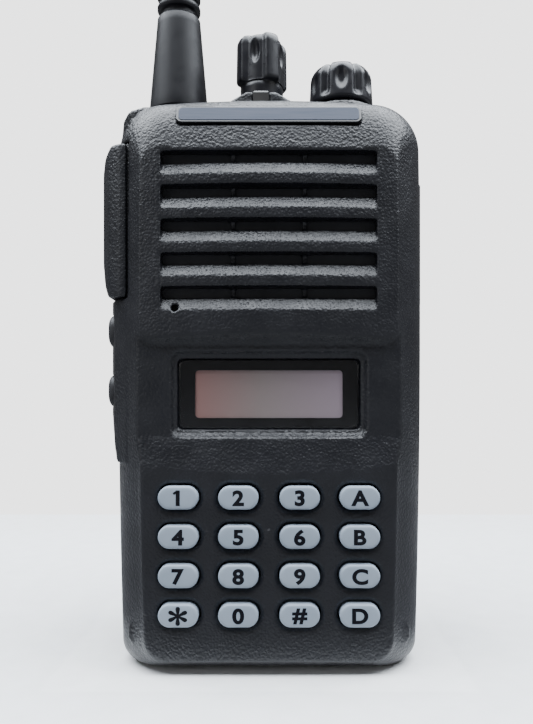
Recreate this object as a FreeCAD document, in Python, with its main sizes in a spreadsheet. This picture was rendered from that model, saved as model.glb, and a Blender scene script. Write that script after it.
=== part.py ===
import FreeCAD, Part
import math
import os
import re

import Sketcher

# Handheld two-way radio, standing on its base.  Frame: X to the right as seen from the
# front, Y from the front panel (negative) to the battery (positive), Z up, millimetres.
# The origin lies on the table, under the middle of the case.

Vector = FreeCAD.Vector
Rotation = FreeCAD.Rotation

SIZES = {
    # case, seen from the front
    "case_width": 58.4,
    "case_height": 108.0,
    "side_belly": 0.6,
    "side_bow_radius": 2000.0,
    "top_bow_radius": 260.0,
    "foot_radius": 4.2,
    # case, seen from the side: how far the parts reach in front of and behind Y = 0
    "front_depth": 19.0,
    "split_depth": 2.0,
    "hood_depth": 13.0,
    "hood_height": 14.0,
    "waist_step": 1.4,
    "waist_low": 42.2,
    "waist_drop": 47.2,
    "key_crown_radius": 900.0,
    "speaker_crown_radius": 220.0,
    "speaker_crown": 0.6,
    # walls and clearances
    "wall": 2.0,
    "floor_wall": 3.2,
    "key_wall": 2.6,
    "speaker_wall": 2.8,
    "window_wall": 5.4,
    "fit": 0.3,
    "running": 0.05,
    # louvres
    "slot_width": 39.6,
    "slot_pitch": 6.2,
    "slot_drop": 12.0,
    "slot_open": 2.1,
    "slot_deep": 1.3,
    "slot_height": 4.3,
    # badge and window
    "badge_width": 34.0,
    "badge_height": 3.7,
    "badge_thick": 1.0,
    "badge_drop": 5.1,
    "badge_tilt": 20.0,
    "window_width": 33.6,
    "window_height": 13.0,
    "window_middle": 51.6,
    "lens_thick": 1.2,
    "view_width": 27.4,
    "view_height": 9.0,
    # keypad
    "key_width": 7.3,
    "key_height": 4.2,
    "key_pitch_x": 11.0,
    "key_pitch_z": 7.1,
    "key_row_low": 11.5,
    "key_proud": 1.0,
    "key_gap": 0.3,
    "key_flange": 0.7,
    "stem_radius": 1.5,
    # speaker
    "speaker_radius": 18.0,
    "speaker_thick": 7.4,
    "speaker_drop": 27.0,
    # controls on the top
    "control_depth": 3.0,
    "channel_x": -1.6,
    "volume_x": 14.6,
    "antenna_x": -18.6,
    "boss_height": 1.4,
    "channel_boss_radius": 5.9,
    "volume_boss_radius": 6.9,
    "bush_radius": 2.6,
    "shaft_radius": 1.6,
    "nut_radius": 3.9,
    "nut_thick": 1.4,
    "channel_knob_radius": 5.3,
    "channel_knob_height": 14.2,
    "volume_knob_radius": 6.6,
    "volume_knob_height": 8.2,
    "knob_lift": 0.5,
    # antenna
    "antenna_length": 142.0,
    "boot_radius": 5.9,
    "boot_height": 19.6,
    "ring_radius": 4.5,
    "ring_pitch": 2.45,
    "ring_count": 5.0,
    "whip_radius": 3.7,
    "tip_radius": 2.9,
    "jack_radius": 3.1,
    "plug_radius": 4.3,
    # push-to-talk bar and side keys
    "pod_proud": 1.5,
    "ptt_proud": 3.3,
    "ptt_length": 29.0,
    "ptt_drop": 9.1,
    "side_key_length": 6.5,
    "side_key_depth": 5.6,
    "side_key_high": 64.0,
    "side_key_low": 52.3,
    "side_key_proud": 0.9,
    # battery
    "pack_depth": 17.0,
    "pack_height": 93.4,
    "pack_wall": 1.4,
    "pack_split": 6.0,
    "pack_corner": 5.0,
    # belt clip
    "clip_thick": 2.0,
    "clip_gap": 5.6,
    "clip_top": 76.0,
    "clip_length": 60.0,
    "clip_pin_radius": 1.0,
    # boards and screws
    "board_thick": 1.2,
    "screw_radius": 1.1,
}

doc = FreeCAD.newDocument("handheld_radio")
sheet = doc.addObject("Spreadsheet::Sheet", "Dims")
for row, (alias, number) in enumerate(SIZES.items(), start=1):
    sheet.set(f"A{row}", alias)
    sheet.set(f"B{row}", str(number))
    sheet.setAlias(f"B{row}", alias)
doc.recompute()


# ---------------------------------------------------------------- helpers


def bound(text):
    """The expression with every size name pointed at its cell of the sheet."""
    return re.sub(
        r"[a-z][a-z_]*",
        lambda word: "Dims." + word.group(0) if word.group(0) in SIZES else word.group(0),
        str(text),
    )


def size(text):
    """The present value of an expression in the sheet's sizes."""
    return float(sheet.evalExpression(bound(text)))


def tie(thing, prop, text):
    """Binds a property to an expression in the sheet's sizes."""
    thing.setExpression(prop, bound(text))


def place(thing, at, turn=None):
    """Ties a placement's base to three expressions, after an optional rotation."""
    if turn is not None:
        thing.Placement = FreeCAD.Placement(Vector(), turn)
    for axis, text in zip("xyz", at):
        tie(thing, f"Placement.Base.{axis}", text)
    return thing


ALONG = {
    "x": Rotation(Vector(0, 1, 0), 90),
    "-x": Rotation(Vector(0, 1, 0), -90),
    "y": Rotation(Vector(1, 0, 0), -90),
    "-y": Rotation(Vector(1, 0, 0), 90),
    "z": Rotation(),
}
PLANES = {
    "front": Rotation(Vector(1, 0, 0), 90),  # sketch x = X, sketch y = Z, normal -Y
    "side": Rotation(Vector(1, 1, 1), 120),  # sketch x = Y, sketch y = Z, normal +X
    "plan": Rotation(),  # sketch x = X, sketch y = Y, normal +Z
}
NORMAL = {"front": "y", "side": "x", "plan": "z"}


def box(name, low, sides):
    """A box from its lowest corner and its three sides, all expressions."""
    thing = doc.addObject("Part::Box", name)
    for prop, text in zip(("Length", "Width", "Height"), sides):
        tie(thing, prop, text)
    return place(thing, low)


def block(name, x, y, z):
    """A box between two values on each axis."""
    spans = [f"({high}) - ({low})" for low, high in (x, y, z)]
    return box(name, [x[0], y[0], z[0]], spans)


def rod(name, radius, length, at, along="z"):
    """A cylinder from the middle of its first face."""
    thing = doc.addObject("Part::Cylinder", name)
    tie(thing, "Radius", radius)
    tie(thing, "Height", length)
    return place(thing, at, ALONG[along])


def taper(name, radius, far_radius, length, at, along="z"):
    """A truncated cone from the middle of its first face."""
    thing = doc.addObject("Part::Cone", name)
    tie(thing, "Radius1", radius)
    tie(thing, "Radius2", far_radius)
    tie(thing, "Height", length)
    return place(thing, at, ALONG[along])


def fuse(name, *parts):
    thing = doc.addObject("Part::MultiFuse", name)
    thing.Shapes = list(parts)
    return thing


def cut(name, base, *tools):
    thing = doc.addObject("Part::Cut", name)
    thing.Base = base
    thing.Tool = tools[0] if len(tools) == 1 else fuse(name + "_tools", *tools)
    return thing


def common(name, first, second):
    thing = doc.addObject("Part::Common", name)
    thing.Base = first
    thing.Tool = second
    return thing


def soften(name, base, radius, pick):
    """Fillets the edges that pick() accepts, at a radius given as an expression."""
    doc.recompute()
    thing = doc.addObject("Part::Fillet", name)
    thing.Base = base
    value = size(radius)
    chosen = [n for n, edge in enumerate(base.Shape.Edges, start=1) if pick(edge)]
    if not chosen:
        raise ValueError(f"{name}: no edge to fillet")
    thing.Edges = [(n, value, value) for n in chosen]
    return thing


def polygon(name, plane, at, corners):
    """A closed sketch of straight lines.  Every corner is tied to two expressions."""
    sketch = doc.addObject("Sketcher::SketchObject", name)
    sketch.Placement = FreeCAD.Placement(Vector(), PLANES[plane])
    tie(sketch, f"Placement.Base.{NORMAL[plane]}", at)
    points = [Vector(size(u), size(v), 0) for u, v in corners]
    count = len(points)
    for n in range(count):
        sketch.addGeometry(Part.LineSegment(points[n], points[(n + 1) % count]), False)
    for n in range(count):
        sketch.addConstraint(Sketcher.Constraint("Coincident", n, 2, (n + 1) % count, 1))
    for n, (u, v) in enumerate(corners):
        for kind, text, now in (("DistanceX", u, points[n].x), ("DistanceY", v, points[n].y)):
            index = sketch.addConstraint(Sketcher.Constraint(kind, -1, 1, n, 1, now))
            sketch.renameConstraint(index, f"{kind}_{n}")
            tie(sketch, f"Constraints.{kind}_{n}", text)
    return sketch


def rounded(name, plane, at, left, right, low, high, radius):
    """A closed sketch: a rectangle with four equal corner arcs."""
    sketch = doc.addObject("Sketcher::SketchObject", name)
    sketch.Placement = FreeCAD.Placement(Vector(), PLANES[plane])
    tie(sketch, f"Placement.Base.{NORMAL[plane]}", at)
    x0, x1, z0, z1, r = (size(text) for text in (left, right, low, high, radius))
    k = r * (1 - math.sqrt(0.5))
    lines = (
        (Vector(x0 + r, z0, 0), Vector(x1 - r, z0, 0)),
        (Vector(x1, z0 + r, 0), Vector(x1, z1 - r, 0)),
        (Vector(x1 - r, z1, 0), Vector(x0 + r, z1, 0)),
        (Vector(x0, z1 - r, 0), Vector(x0, z0 + r, 0)),
    )
    middles = (
        Vector(x1 - k, z0 + k, 0),
        Vector(x1 - k, z1 - k, 0),
        Vector(x0 + k, z1 - k, 0),
        Vector(x0 + k, z0 + k, 0),
    )
    for n in range(4):
        sketch.addGeometry(Part.LineSegment(*lines[n]), False)
    for n in range(4):
        sketch.addGeometry(Part.Arc(lines[n][1], middles[n], lines[(n + 1) % 4][0]), False)
    for n in range(4):
        sketch.addConstraint(Sketcher.Constraint("Tangent", n, 2, 4 + n, 1))
        sketch.addConstraint(Sketcher.Constraint("Tangent", 4 + n, 2, (n + 1) % 4, 1))
        sketch.addConstraint(Sketcher.Constraint("Horizontal" if n % 2 == 0 else "Vertical", n))
    ties = (("DistanceY", 0, low), ("DistanceX", 1, right), ("DistanceY", 2, high), ("DistanceX", 3, left))
    for kind, line, text in ties:
        index = sketch.addConstraint(Sketcher.Constraint(kind, -1, 1, line, 1, size(text)))
        sketch.renameConstraint(index, f"edge_{line}")
        tie(sketch, f"Constraints.edge_{line}", text)
    for n in range(4, 8):
        index = sketch.addConstraint(Sketcher.Constraint("Radius", n, r))
        sketch.renameConstraint(index, f"corner_{n}")
        tie(sketch, f"Constraints.corner_{n}", radius)
    return sketch


def push(name, sketch, length, back="0", angle=0.0):
    """Extrudes a sketch along its normal by length, and the other way by back."""
    thing = doc.addObject("Part::Extrusion", name)
    thing.Base = sketch
    thing.DirMode = "Normal"
    thing.Solid = True
    tie(thing, "LengthFwd", length)
    tie(thing, "LengthRev", back)
    thing.TaperAngle = angle
    return thing


def stadium(name, width, height, depth, at, along="-y"):
    """A slot-shaped block with round ends, its long way along X (or Z on a side), from its front face."""
    x, y, z = at
    if along in ("y", "-y"):
        low = y if along == "y" else f"({y}) - ({depth})"
        half = f"(({width}) - ({height})) / 2"
        middle = block(
            name + "_middle",
            (f"({x}) - {half}", f"({x}) + {half}"),
            (low, f"({low}) + ({depth})"),
            (f"({z}) - ({height}) / 2", f"({z}) + ({height}) / 2"),
        )
        ends = [
            rod(f"{name}_end_{n}", f"({height}) / 2", depth, (f"({x}) {sign} {half}", low, z), "y")
            for n, sign in enumerate("-+")
        ]
    else:
        low = x if along == "x" else f"({x}) - ({depth})"
        half = f"(({width}) - ({height})) / 2"
        middle = block(
            name + "_middle",
            (low, f"({low}) + ({depth})"),
            (f"({y}) - ({height}) / 2", f"({y}) + ({height}) / 2"),
            (f"({z}) - {half}", f"({z}) + {half}"),
        )
        ends = [
            rod(f"{name}_end_{n}", f"({height}) / 2", depth, (low, y, f"({z}) {sign} {half}"), "x")
            for n, sign in enumerate("-+")
        ]
    return fuse(name, middle, *ends)


NODES = []


def node(name, thing):
    """Marks a finished piece, which becomes parts/NAME.step."""
    thing.Label = name
    NODES.append(thing)
    return thing


def plane_of(body, role):
    return next(feature for feature in body.Origin.OriginFeatures if feature.Role == role)


def turned(name, corners, at):
    """A PartDesign body turned about its own Z axis from a half section of straight lines."""
    body = doc.addObject("PartDesign::Body", name)
    sketch = body.newObject("Sketcher::SketchObject", name + "_section")
    sketch.AttachmentSupport = [(plane_of(body, "XZ_Plane"), "")]
    sketch.MapMode = "FlatFace"
    points = [Vector(size(u), size(v), 0) for u, v in corners]
    count = len(points)
    for n in range(count):
        sketch.addGeometry(Part.LineSegment(points[n], points[(n + 1) % count]), False)
    for n in range(count):
        sketch.addConstraint(Sketcher.Constraint("Coincident", n, 2, (n + 1) % count, 1))
    for n, (u, v) in enumerate(corners):
        for kind, text, now in (("DistanceX", u, points[n].x), ("DistanceY", v, points[n].y)):
            index = sketch.addConstraint(Sketcher.Constraint(kind, -1, 1, n, 1, now))
            sketch.renameConstraint(index, f"{kind}_{n}")
            tie(sketch, f"Constraints.{kind}_{n}", text)
    turn = body.newObject("PartDesign::Revolution", name + "_turn")
    turn.Profile = sketch
    turn.ReferenceAxis = (sketch, ["V_Axis"])
    turn.Angle = 360
    body.Tip = turn
    place(body, at)
    return body


def body_cut_round(body, name, radius, reach, depth, low, height, count, start):
    """Cuts count equal upright round grooves into a turned body, by a polar pattern of one pocket."""
    sketch = body.newObject("Sketcher::SketchObject", name + "_circle")
    sketch.AttachmentSupport = [(plane_of(body, "XY_Plane"), "")]
    sketch.MapMode = "FlatFace"
    tie(sketch, "AttachmentOffset.Base.z", low)
    spot = Vector(size(reach) * math.cos(math.radians(start)), size(reach) * math.sin(math.radians(start)), 0)
    sketch.addGeometry(Part.Circle(spot, Vector(0, 0, 1), size(radius)), False)
    texts = (("DistanceX", f"({reach}) * cos({start})"), ("DistanceY", f"({reach}) * sin({start})"))
    for kind, text in texts:
        index = sketch.addConstraint(Sketcher.Constraint(kind, -1, 1, 0, 3, size(text)))
        sketch.renameConstraint(index, kind)
        tie(sketch, f"Constraints.{kind}", text)
    index = sketch.addConstraint(Sketcher.Constraint("Radius", 0, size(radius)))
    sketch.renameConstraint(index, "round")
    tie(sketch, "Constraints.round", radius)
    pocket = body.newObject("PartDesign::Pocket", name)
    pocket.Profile = sketch
    pocket.Reversed = True
    tie(pocket, "Length", height)
    ring = body.newObject("PartDesign::PolarPattern", name + "_ring")
    ring.Originals = [pocket]
    ring.Axis = (sketch, ["N_Axis"])
    ring.Angle = 360
    ring.Occurrences = count
    body.Tip = ring
    return ring


# ---------------------------------------------------------------- front case


def case_outline(name, depth, side, top, foot, top_radius, foot_radius):
    """The case seen from the front at one depth: bowed sides and top, flat foot, four round corners."""
    half = size(f"case_width / 2 + side_belly - ({side})")
    high, low = size(f"case_height - ({top})"), size(foot)
    r, q = size(top_radius), size(foot_radius)
    bow, arch = size("side_bow_radius"), size("top_bow_radius")
    middle = size("case_height * 0.6")
    side_x = half - bow
    top_z = high - arch
    # centre of the top corner: inside both the top arc and the side arc by its own radius
    reach_top, reach_side = arch - r, bow - r
    span = math.hypot(side_x, middle - top_z)
    along = (reach_top**2 - reach_side**2 + span**2) / (2 * span)
    off = math.sqrt(reach_top**2 - along**2)
    ux, uz = side_x / span, (middle - top_z) / span
    corner = Vector(ux * along - uz * off, top_z + uz * along + ux * off, 0)
    if corner.x < 0:
        corner = Vector(ux * along + uz * off, top_z + uz * along - ux * off, 0)
    foot_z = low + q
    foot_x = side_x + math.sqrt((bow - q) ** 2 - (foot_z - middle) ** 2)

    def toward(a, b, radius):
        away = Vector(b.x - a.x, b.y - a.y, 0)
        away.normalize()
        return a + away * radius

    centre_top, centre_side = Vector(0, top_z, 0), Vector(side_x, middle, 0)
    foot_centre = Vector(foot_x, foot_z, 0)
    p_top = toward(centre_top, corner, arch)
    p_side = toward(centre_side, corner, bow)
    p_low = toward(centre_side, foot_centre, bow)
    p_foot = Vector(foot_x, low, 0)

    def flip(v):
        return Vector(-v.x, v.y, 0)

    def between(centre, a, b, radius):
        middle_way = (a + b) * 0.5 - centre
        middle_way.normalize()
        return centre + middle_way * radius

    sketch = doc.addObject("Sketcher::SketchObject", name)
    sketch.Placement = FreeCAD.Placement(Vector(), PLANES["front"])
    tie(sketch, "Placement.Base.y", f"-({depth})")
    right = (
        (p_foot, between(foot_centre, p_foot, p_low, q), p_low),
        (p_low, between(centre_side, p_low, p_side, bow), p_side),
        (p_side, between(corner, p_side, p_top, r), p_top),
    )
    arcs = list(right)
    arcs.append((p_top, Vector(0, high, 0), flip(p_top)))
    arcs.extend((flip(c), flip(b), flip(a)) for a, b, c in reversed(right))
    sketch.addGeometry(Part.LineSegment(flip(p_foot), p_foot), False)
    for a, b, c in arcs:
        sketch.addGeometry(Part.Arc(a, b, c), False)
    count = 8
    for n in range(count):
        sketch.addConstraint(Sketcher.Constraint("Tangent", n, 2, (n + 1) % count, 1))
    ties = (
        ("Radius", (1,), foot_radius),
        ("Radius", (7,), foot_radius),
        ("Radius", (3,), top_radius),
        ("Radius", (5,), top_radius),
        ("Radius", (2,), "side_bow_radius"),
        ("Radius", (6,), "side_bow_radius"),
        ("Radius", (4,), "top_bow_radius"),
        ("DistanceY", (-1, 1, 0, 1), foot),
        ("DistanceX", (-1, 1, 4, 3), "0"),
        ("DistanceY", (-1, 1, 4, 3), f"case_height - ({top}) - top_bow_radius"),
        ("DistanceX", (-1, 1, 2, 3), f"case_width / 2 + side_belly - ({side}) - side_bow_radius"),
        ("DistanceY", (-1, 1, 2, 3), "case_height * 0.6"),
        ("DistanceX", (6, 3, -1, 1), f"case_width / 2 + side_belly - ({side}) - side_bow_radius"),
    )
    for n, (kind, where, text) in enumerate(ties):
        index = sketch.addConstraint(Sketcher.Constraint(kind, *where, size(text)))
        sketch.renameConstraint(index, f"size_{n}")
        tie(sketch, f"Constraints.size_{n}", text)
    return sketch


def loft(name, *sketches):
    thing = doc.addObject("Part::Loft", name)
    thing.Sections = list(sketches)
    thing.Solid = True
    thing.Ruled = False
    return thing


SECTIONS = (
    # depth, side inset, top inset, foot inset, top corner, foot corner
    ("front_depth - 15.0", "0", "0", "0", "8.2", "foot_radius"),
    ("front_depth - 11.0", "0.2", "0.05", "0", "8.2", "foot_radius"),
    ("front_depth - 6.0", "1.6", "0.6", "0.4", "7.8", "foot_radius"),
    ("front_depth - 2.8", "4.1", "2.6", "1.2", "7.0", "foot_radius"),
    ("front_depth - 0.4", "6.2", "9.5", "2.6", "6.0", "foot_radius"),
    ("front_depth + 1.5", "7.9", "15.0", "3.6", "5.2", "foot_radius"),
)
outlines = [case_outline(f"outline_{n}", *texts) for n, texts in enumerate(SECTIONS)]

# the rounded shell, and the hood that reaches back over the battery
shell_front = loft("shell_front", *outlines)
shell_ring = push("shell_ring", outlines[0], "0", "front_depth - 15.0 + split_depth")
hood_prism = push("hood_prism", outlines[0], "0", "front_depth - 15.0 + hood_depth")
hood_plan = rounded(
    "hood_plan", "plan", "case_height - hood_height",
    "-(case_width / 2 + 1.0)", "case_width / 2 + 1.0", "split_depth - 20.0", "hood_depth", "pack_corner",
)
hood = common("hood", hood_prism, push("hood_column", hood_plan, "hood_height + 1.0"))

# the front surface: a bowed speaker island, a low window waist and a nearly flat key field
side_line = polygon(
    "side_line", "side", "-(case_width / 2 + 4.0)",
    (
        ("-(front_depth + 3.0)", "-1.0"),
        ("split_depth + 0.5", "-1.0"),
        ("split_depth + 0.5", "case_height + 1.0"),
        ("-(front_depth - waist_step)", "case_height + 1.0"),
        ("-(front_depth - waist_step)", "waist_low + 1.8"),
        ("-(front_depth + 3.0)", "waist_low + 1.8 - 5 * (waist_step + 3.0)"),
    ),
)
key_profile = push("key_profile", side_line, "case_width + 8.0")
island_low = rounded(
    "island_low", "front", "-(front_depth - waist_step)",
    "-(case_width / 2 - 4.0)", "case_width / 2 - 4.0",
    "case_height - waist_drop", "case_height + 12.0", "4.6",
)
island = push("island", island_low, "waist_step + 2.0", angle=-45.0)
profile = fuse("profile", key_profile, island)
key_crown = rod(
    "key_crown", "key_crown_radius", "waist_low + 9.8",
    ("0", "key_crown_radius - front_depth", "-1.0"),
)
speaker_crown = rod(
    "speaker_crown_round", "speaker_crown_radius", "case_height + 6.0",
    ("0", "speaker_crown_radius - front_depth - speaker_crown", "waist_low + 6.0"),
)
crowns = fuse("crowns", key_crown, speaker_crown)
faced = common("faced", common("trimmed", shell_front, profile), crowns)

# the raised pad on the left that carries the push-to-talk bar and the two side keys
LEFT = "-(case_width / 2 + pod_proud)"
pod_front = polygon(
    "pod_front", "front", "2.0",
    (
        ("-(case_width / 2 - 4.0)", "case_height - 69.3"),
        ("-(case_width / 2 - 0.2)", "case_height - 69.3"),
        (LEFT, "case_height - 60.0"),
        (LEFT, "case_height - 36.5"),
        ("-(case_width / 2 - 0.4)", "case_height - 33.5"),
        ("-(case_width / 2 - 4.0)", "case_height - 33.5"),
    ),
)
pod_plan = polygon(
    "pod_plan", "plan", "0",
    (
        ("-(case_width / 2 - 4.5)", "-(front_depth - 3.4)"),
        ("-(case_width / 2 - 2.4)", "-(front_depth - 3.9)"),
        ("-(case_width / 2 + 0.3)", "-(front_depth - 6.4)"),
        (LEFT, "-(front_depth - 9.6)"),
        (LEFT, "-1.0"),
        ("-(case_width / 2 - 0.2)", "1.2"),
        ("-(case_width / 2 - 4.5)", "1.2"),
    ),
)
pod = common("pod", push("pod_face", pod_front, "front_depth"), push("pod_column", pod_plan, "case_height"))

# the squarer shoulder above the bar, at the top left
shoulder_front = polygon(
    "shoulder_front", "front", "0",
    (
        ("-(case_width / 2 - 8.0)", "case_height - 12.0"),
        ("-(case_width / 2 - 0.5)", "case_height - 12.0"),
        ("-(case_width / 2 - 0.5)", "case_height - 6.6"),
        ("-(case_width / 2 - 1.2)", "case_height - 4.2"),
        ("-(case_width / 2 - 2.4)", "case_height - 2.9"),
        ("-(case_width / 2 - 5.5)", "case_height - 2.0"),
        ("-(case_width / 2 - 8.0)", "case_height - 2.0"),
    ),
)
shoulder_plan = polygon(
    "shoulder_plan", "plan", "0",
    (
        ("-(case_width / 2 - 8.0)", "-(front_depth - 5.0)"),
        ("-(case_width / 2 - 3.2)", "-(front_depth - 5.0)"),
        ("-(case_width / 2 - 1.4)", "-(front_depth - 6.6)"),
        ("-(case_width / 2 - 0.5)", "-(front_depth - 9.0)"),
        ("-(case_width / 2 - 0.5)", "-1.0"),
        ("-(case_width / 2 - 8.0)", "-1.0"),
    ),
)
shoulder = common(
    "shoulder",
    push("shoulder_face", shoulder_front, "front_depth"),
    push("shoulder_column", shoulder_plan, "case_height"),
)

# bosses for the three things on the top, and the small mound of the lamp
channel_boss = taper(
    "channel_boss", "channel_boss_radius + 0.9", "channel_boss_radius", "boss_height + 4.0",
    ("channel_x", "-control_depth", "case_height - 4.0"),
)
volume_boss = taper(
    "volume_boss", "volume_boss_radius + 1.2", "volume_boss_radius", "boss_height + 4.0",
    ("volume_x", "-control_depth", "case_height - 4.2"),
)
antenna_boss = taper(
    "antenna_boss", "boot_radius + 1.0", "boot_radius + 0.3", "4.4",
    ("antenna_x", "-control_depth", "case_height - 4.0"),
)
mound = push(
    "mound",
    polygon(
        "mound_front", "front", "-(control_depth + 2.0)",
        (
            ("channel_x - 5.9", "case_height - 3.0"),
            ("channel_x + 5.9", "case_height - 3.0"),
            ("channel_x + 5.9", "case_height + 0.2"),
            ("channel_x + 2.9", "case_height + 1.9"),
            ("channel_x - 2.9", "case_height + 1.9"),
            ("channel_x - 5.9", "case_height + 0.2"),
        ),
    ),
    "6.6",
)

# everything hollowed out of the case
LOW_HALF = "(case_width / 2 - wall)"
LEFT_IN = "-(case_width / 2 - 5.6)"
RIGHT_IN = "case_width / 2 - 4.4"
room = push(
    "room",
    polygon(
        "room_front", "front", "split_depth + 1.0",
        (
            (f"-{LOW_HALF}", "floor_wall"),
            (LOW_HALF, "floor_wall"),
            (LOW_HALF, "waist_low - 4.6"),
            (RIGHT_IN, "waist_low + 3.8"),
            (RIGHT_IN, "case_height - 10.5"),
            ("case_width / 2 - 9.4", "case_height - 3.4"),
            ("-(case_width / 2 - 10.4)", "case_height - 3.4"),
            (LEFT_IN, "case_height - 9.0"),
            (LEFT_IN, "waist_low + 3.8"),
            (f"-{LOW_HALF}", "waist_low - 4.6"),
        ),
    ),
    "front_depth - 8.5 + split_depth + 1.0",
)
hood_room = block(
    "hood_room", ("-(case_width / 2 - 9.0)", "case_width / 2 - 9.0"),
    ("split_depth - 1.0", "hood_depth - 4.5"), ("case_height - hood_height + 2.2", "case_height - 3.4"),
)
key_room = block(
    "key_room", ("-(case_width / 2 - 7.2)", "case_width / 2 - 7.2"),
    ("-(front_depth - key_wall)", "-(front_depth - 10.0)"), ("floor_wall", "waist_low - 0.2"),
)
window_room = block(
    "window_room", ("-(window_width / 2 + 0.2)", "window_width / 2 + 0.2"),
    ("-(front_depth - window_wall)", "-(front_depth - 10.0)"),
    ("waist_low - 1.0", "case_height - waist_drop + 2.2"),
)
speaker_room = push(
    "speaker_room",
    polygon(
        "speaker_room_front", "front", "-(front_depth - 10.0)",
        (
            ("-(case_width / 2 - 8.6)", "case_height - waist_drop + 2.0"),
            ("case_width / 2 - 8.6", "case_height - waist_drop + 2.0"),
            ("case_width / 2 - 8.6", "case_height - 10.6"),
            ("case_width / 2 - 10.6", "case_height - 8.6"),
            ("-(case_width / 2 - 10.6)", "case_height - 8.6"),
            ("-(case_width / 2 - 8.6)", "case_height - 10.6"),
        ),
    ),
    "10.0 - speaker_wall",
)

# the window: a sloping dish, a pocket for the lens and a smaller opening
dish = push(
    "dish",
    rounded(
        "dish_floor", "front", "-(front_depth - waist_step - 1.0)",
        "-(window_width / 2 + 0.6)", "window_width / 2 + 0.6",
        "window_middle - window_height / 2 - 0.7", "window_middle + window_height / 2 + 0.7", "1.2",
    ),
    "3.0", angle=40.0,
)
lens_pocket = push(
    "lens_pocket",
    rounded(
        "lens_pocket_line", "front", "-(front_depth - waist_step - 1.0 - lens_thick - 0.2)",
        "-(window_width / 2 + 0.1)", "window_width / 2 + 0.1",
        "window_middle - window_height / 2 - 0.1", "window_middle + window_height / 2 + 0.1", "0.9",
    ),
    "3.0",
)
window_hole = block(
    "window_hole", ("-(view_width / 2 + 0.5)", "view_width / 2 + 0.5"),
    ("-(front_depth - 1.0)", "-(front_depth - 6.0)"),
    ("window_middle - view_height / 2 - 0.6", "window_middle + view_height / 2 + 0.6"),
)

# louvres: a straight step under each lip, then a long slope down and out.  They are turned about the
# axis of the bowed speaker face, so that every slope ends level.
SLOPE_FOOT = "slot_height + 2.5 * (slot_height - slot_open) / slot_deep"
SLOT_BACK = "speaker_crown_radius - slot_deep"
SLOT_OUT = "speaker_crown_radius + 2.5"
slot_span = block(
    "slot_span", ("-slot_width / 2", "slot_width / 2"), ("-(front_depth + 5.0)", "-(front_depth - 6.0)"),
    ("case_height - slot_drop - 6 * slot_pitch", "case_height - slot_drop + 1.0"),
)
louvres = []
for n in range(5):
    lip = f"case_height - slot_drop - {n} * slot_pitch"
    ring = turned(
        f"louvre_{n}_ring",
        ((SLOT_BACK, "0"), (SLOT_OUT, "0"), (SLOT_OUT, f"-({SLOPE_FOOT})"), (SLOT_BACK, "-slot_open")),
        ("0", "speaker_crown_radius - front_depth - speaker_crown", lip),
    )
    louvres.append(common(f"louvre_{n}", ring, slot_span))
    louvres.append(
        block(
            f"slot_{n}", ("-slot_width / 2", "slot_width / 2"),
            ("-(front_depth + speaker_crown - slot_deep + 0.2)", "-(front_depth - speaker_wall - 0.6)"),
            (f"{lip} - slot_open + 0.1", f"{lip} - 0.1"),
        )
    )
ribs = [
    block(
        f"rib_{n}", (f"{x} - 0.45", f"{x} + 0.45"),
        ("-(front_depth - speaker_wall + 0.6)", "-(front_depth - speaker_wall)"),
        ("case_height - slot_drop - 4 * slot_pitch - slot_open", "case_height - slot_drop"),
    )
    for n, x in enumerate(("-6.6", "6.6"))
]
mic_hole = rod(
    "mic_hole", "0.7", "4.0", ("-17.2", "-(front_depth + 1.0)", "case_height - 40.7"), "y"
)

# key openings, each at the bottom of a shallow dish
COLUMNS = ("-1.5 * key_pitch_x + 0.1", "-0.5 * key_pitch_x", "0.5 * key_pitch_x + 0.1", "1.5 * key_pitch_x")
ROWS = tuple(f"key_row_low + {n} * key_pitch_z" for n in (3, 2, 1, 0))
KEYS = (
    ("key_1", "key_2", "key_3", "key_a"),
    ("key_4", "key_5", "key_6", "key_b"),
    ("key_7", "key_8", "key_9", "key_c"),
    ("key_star", "key_0", "key_hash", "key_d"),
)


def key_block(name, x, z, margin, face, length, radius_trim="0.05", angle=0.0):
    """A key-shaped block, larger than the cap by a margin all round, from its back face towards the front."""
    line = rounded(
        name + "_line", "front", face,
        f"{x} - key_width / 2 - ({margin})", f"{x} + key_width / 2 + ({margin})",
        f"{z} - key_height / 2 - ({margin})", f"{z} + key_height / 2 + ({margin})",
        f"key_height / 2 + ({margin}) - ({radius_trim})",
    )
    return push(name, line, length, angle=angle)


key_openings = []
for row, names in enumerate(KEYS):
    for column, name in enumerate(names):
        x, z = COLUMNS[column], ROWS[row]
        key_openings.append(
            key_block(f"{name}_hole", x, z, "key_gap", "-(front_depth - key_wall - 0.5)", "4.0")
        )
        key_openings.append(
            key_block(f"{name}_dish", x, z, "0.8", "-(front_depth - 0.45)", "1.6", angle=20.0)
        )
nubs = [
    rod(
        f"nub_{n}", "0.35", "1.0",
        (f"-0.5 * key_pitch_x {sign} key_pitch_x / 2", "-(front_depth + 0.25)",
         "key_row_low + 2 * key_pitch_z + 0.8"), "y",
    )
    for n, sign in enumerate("-+")
]

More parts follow.
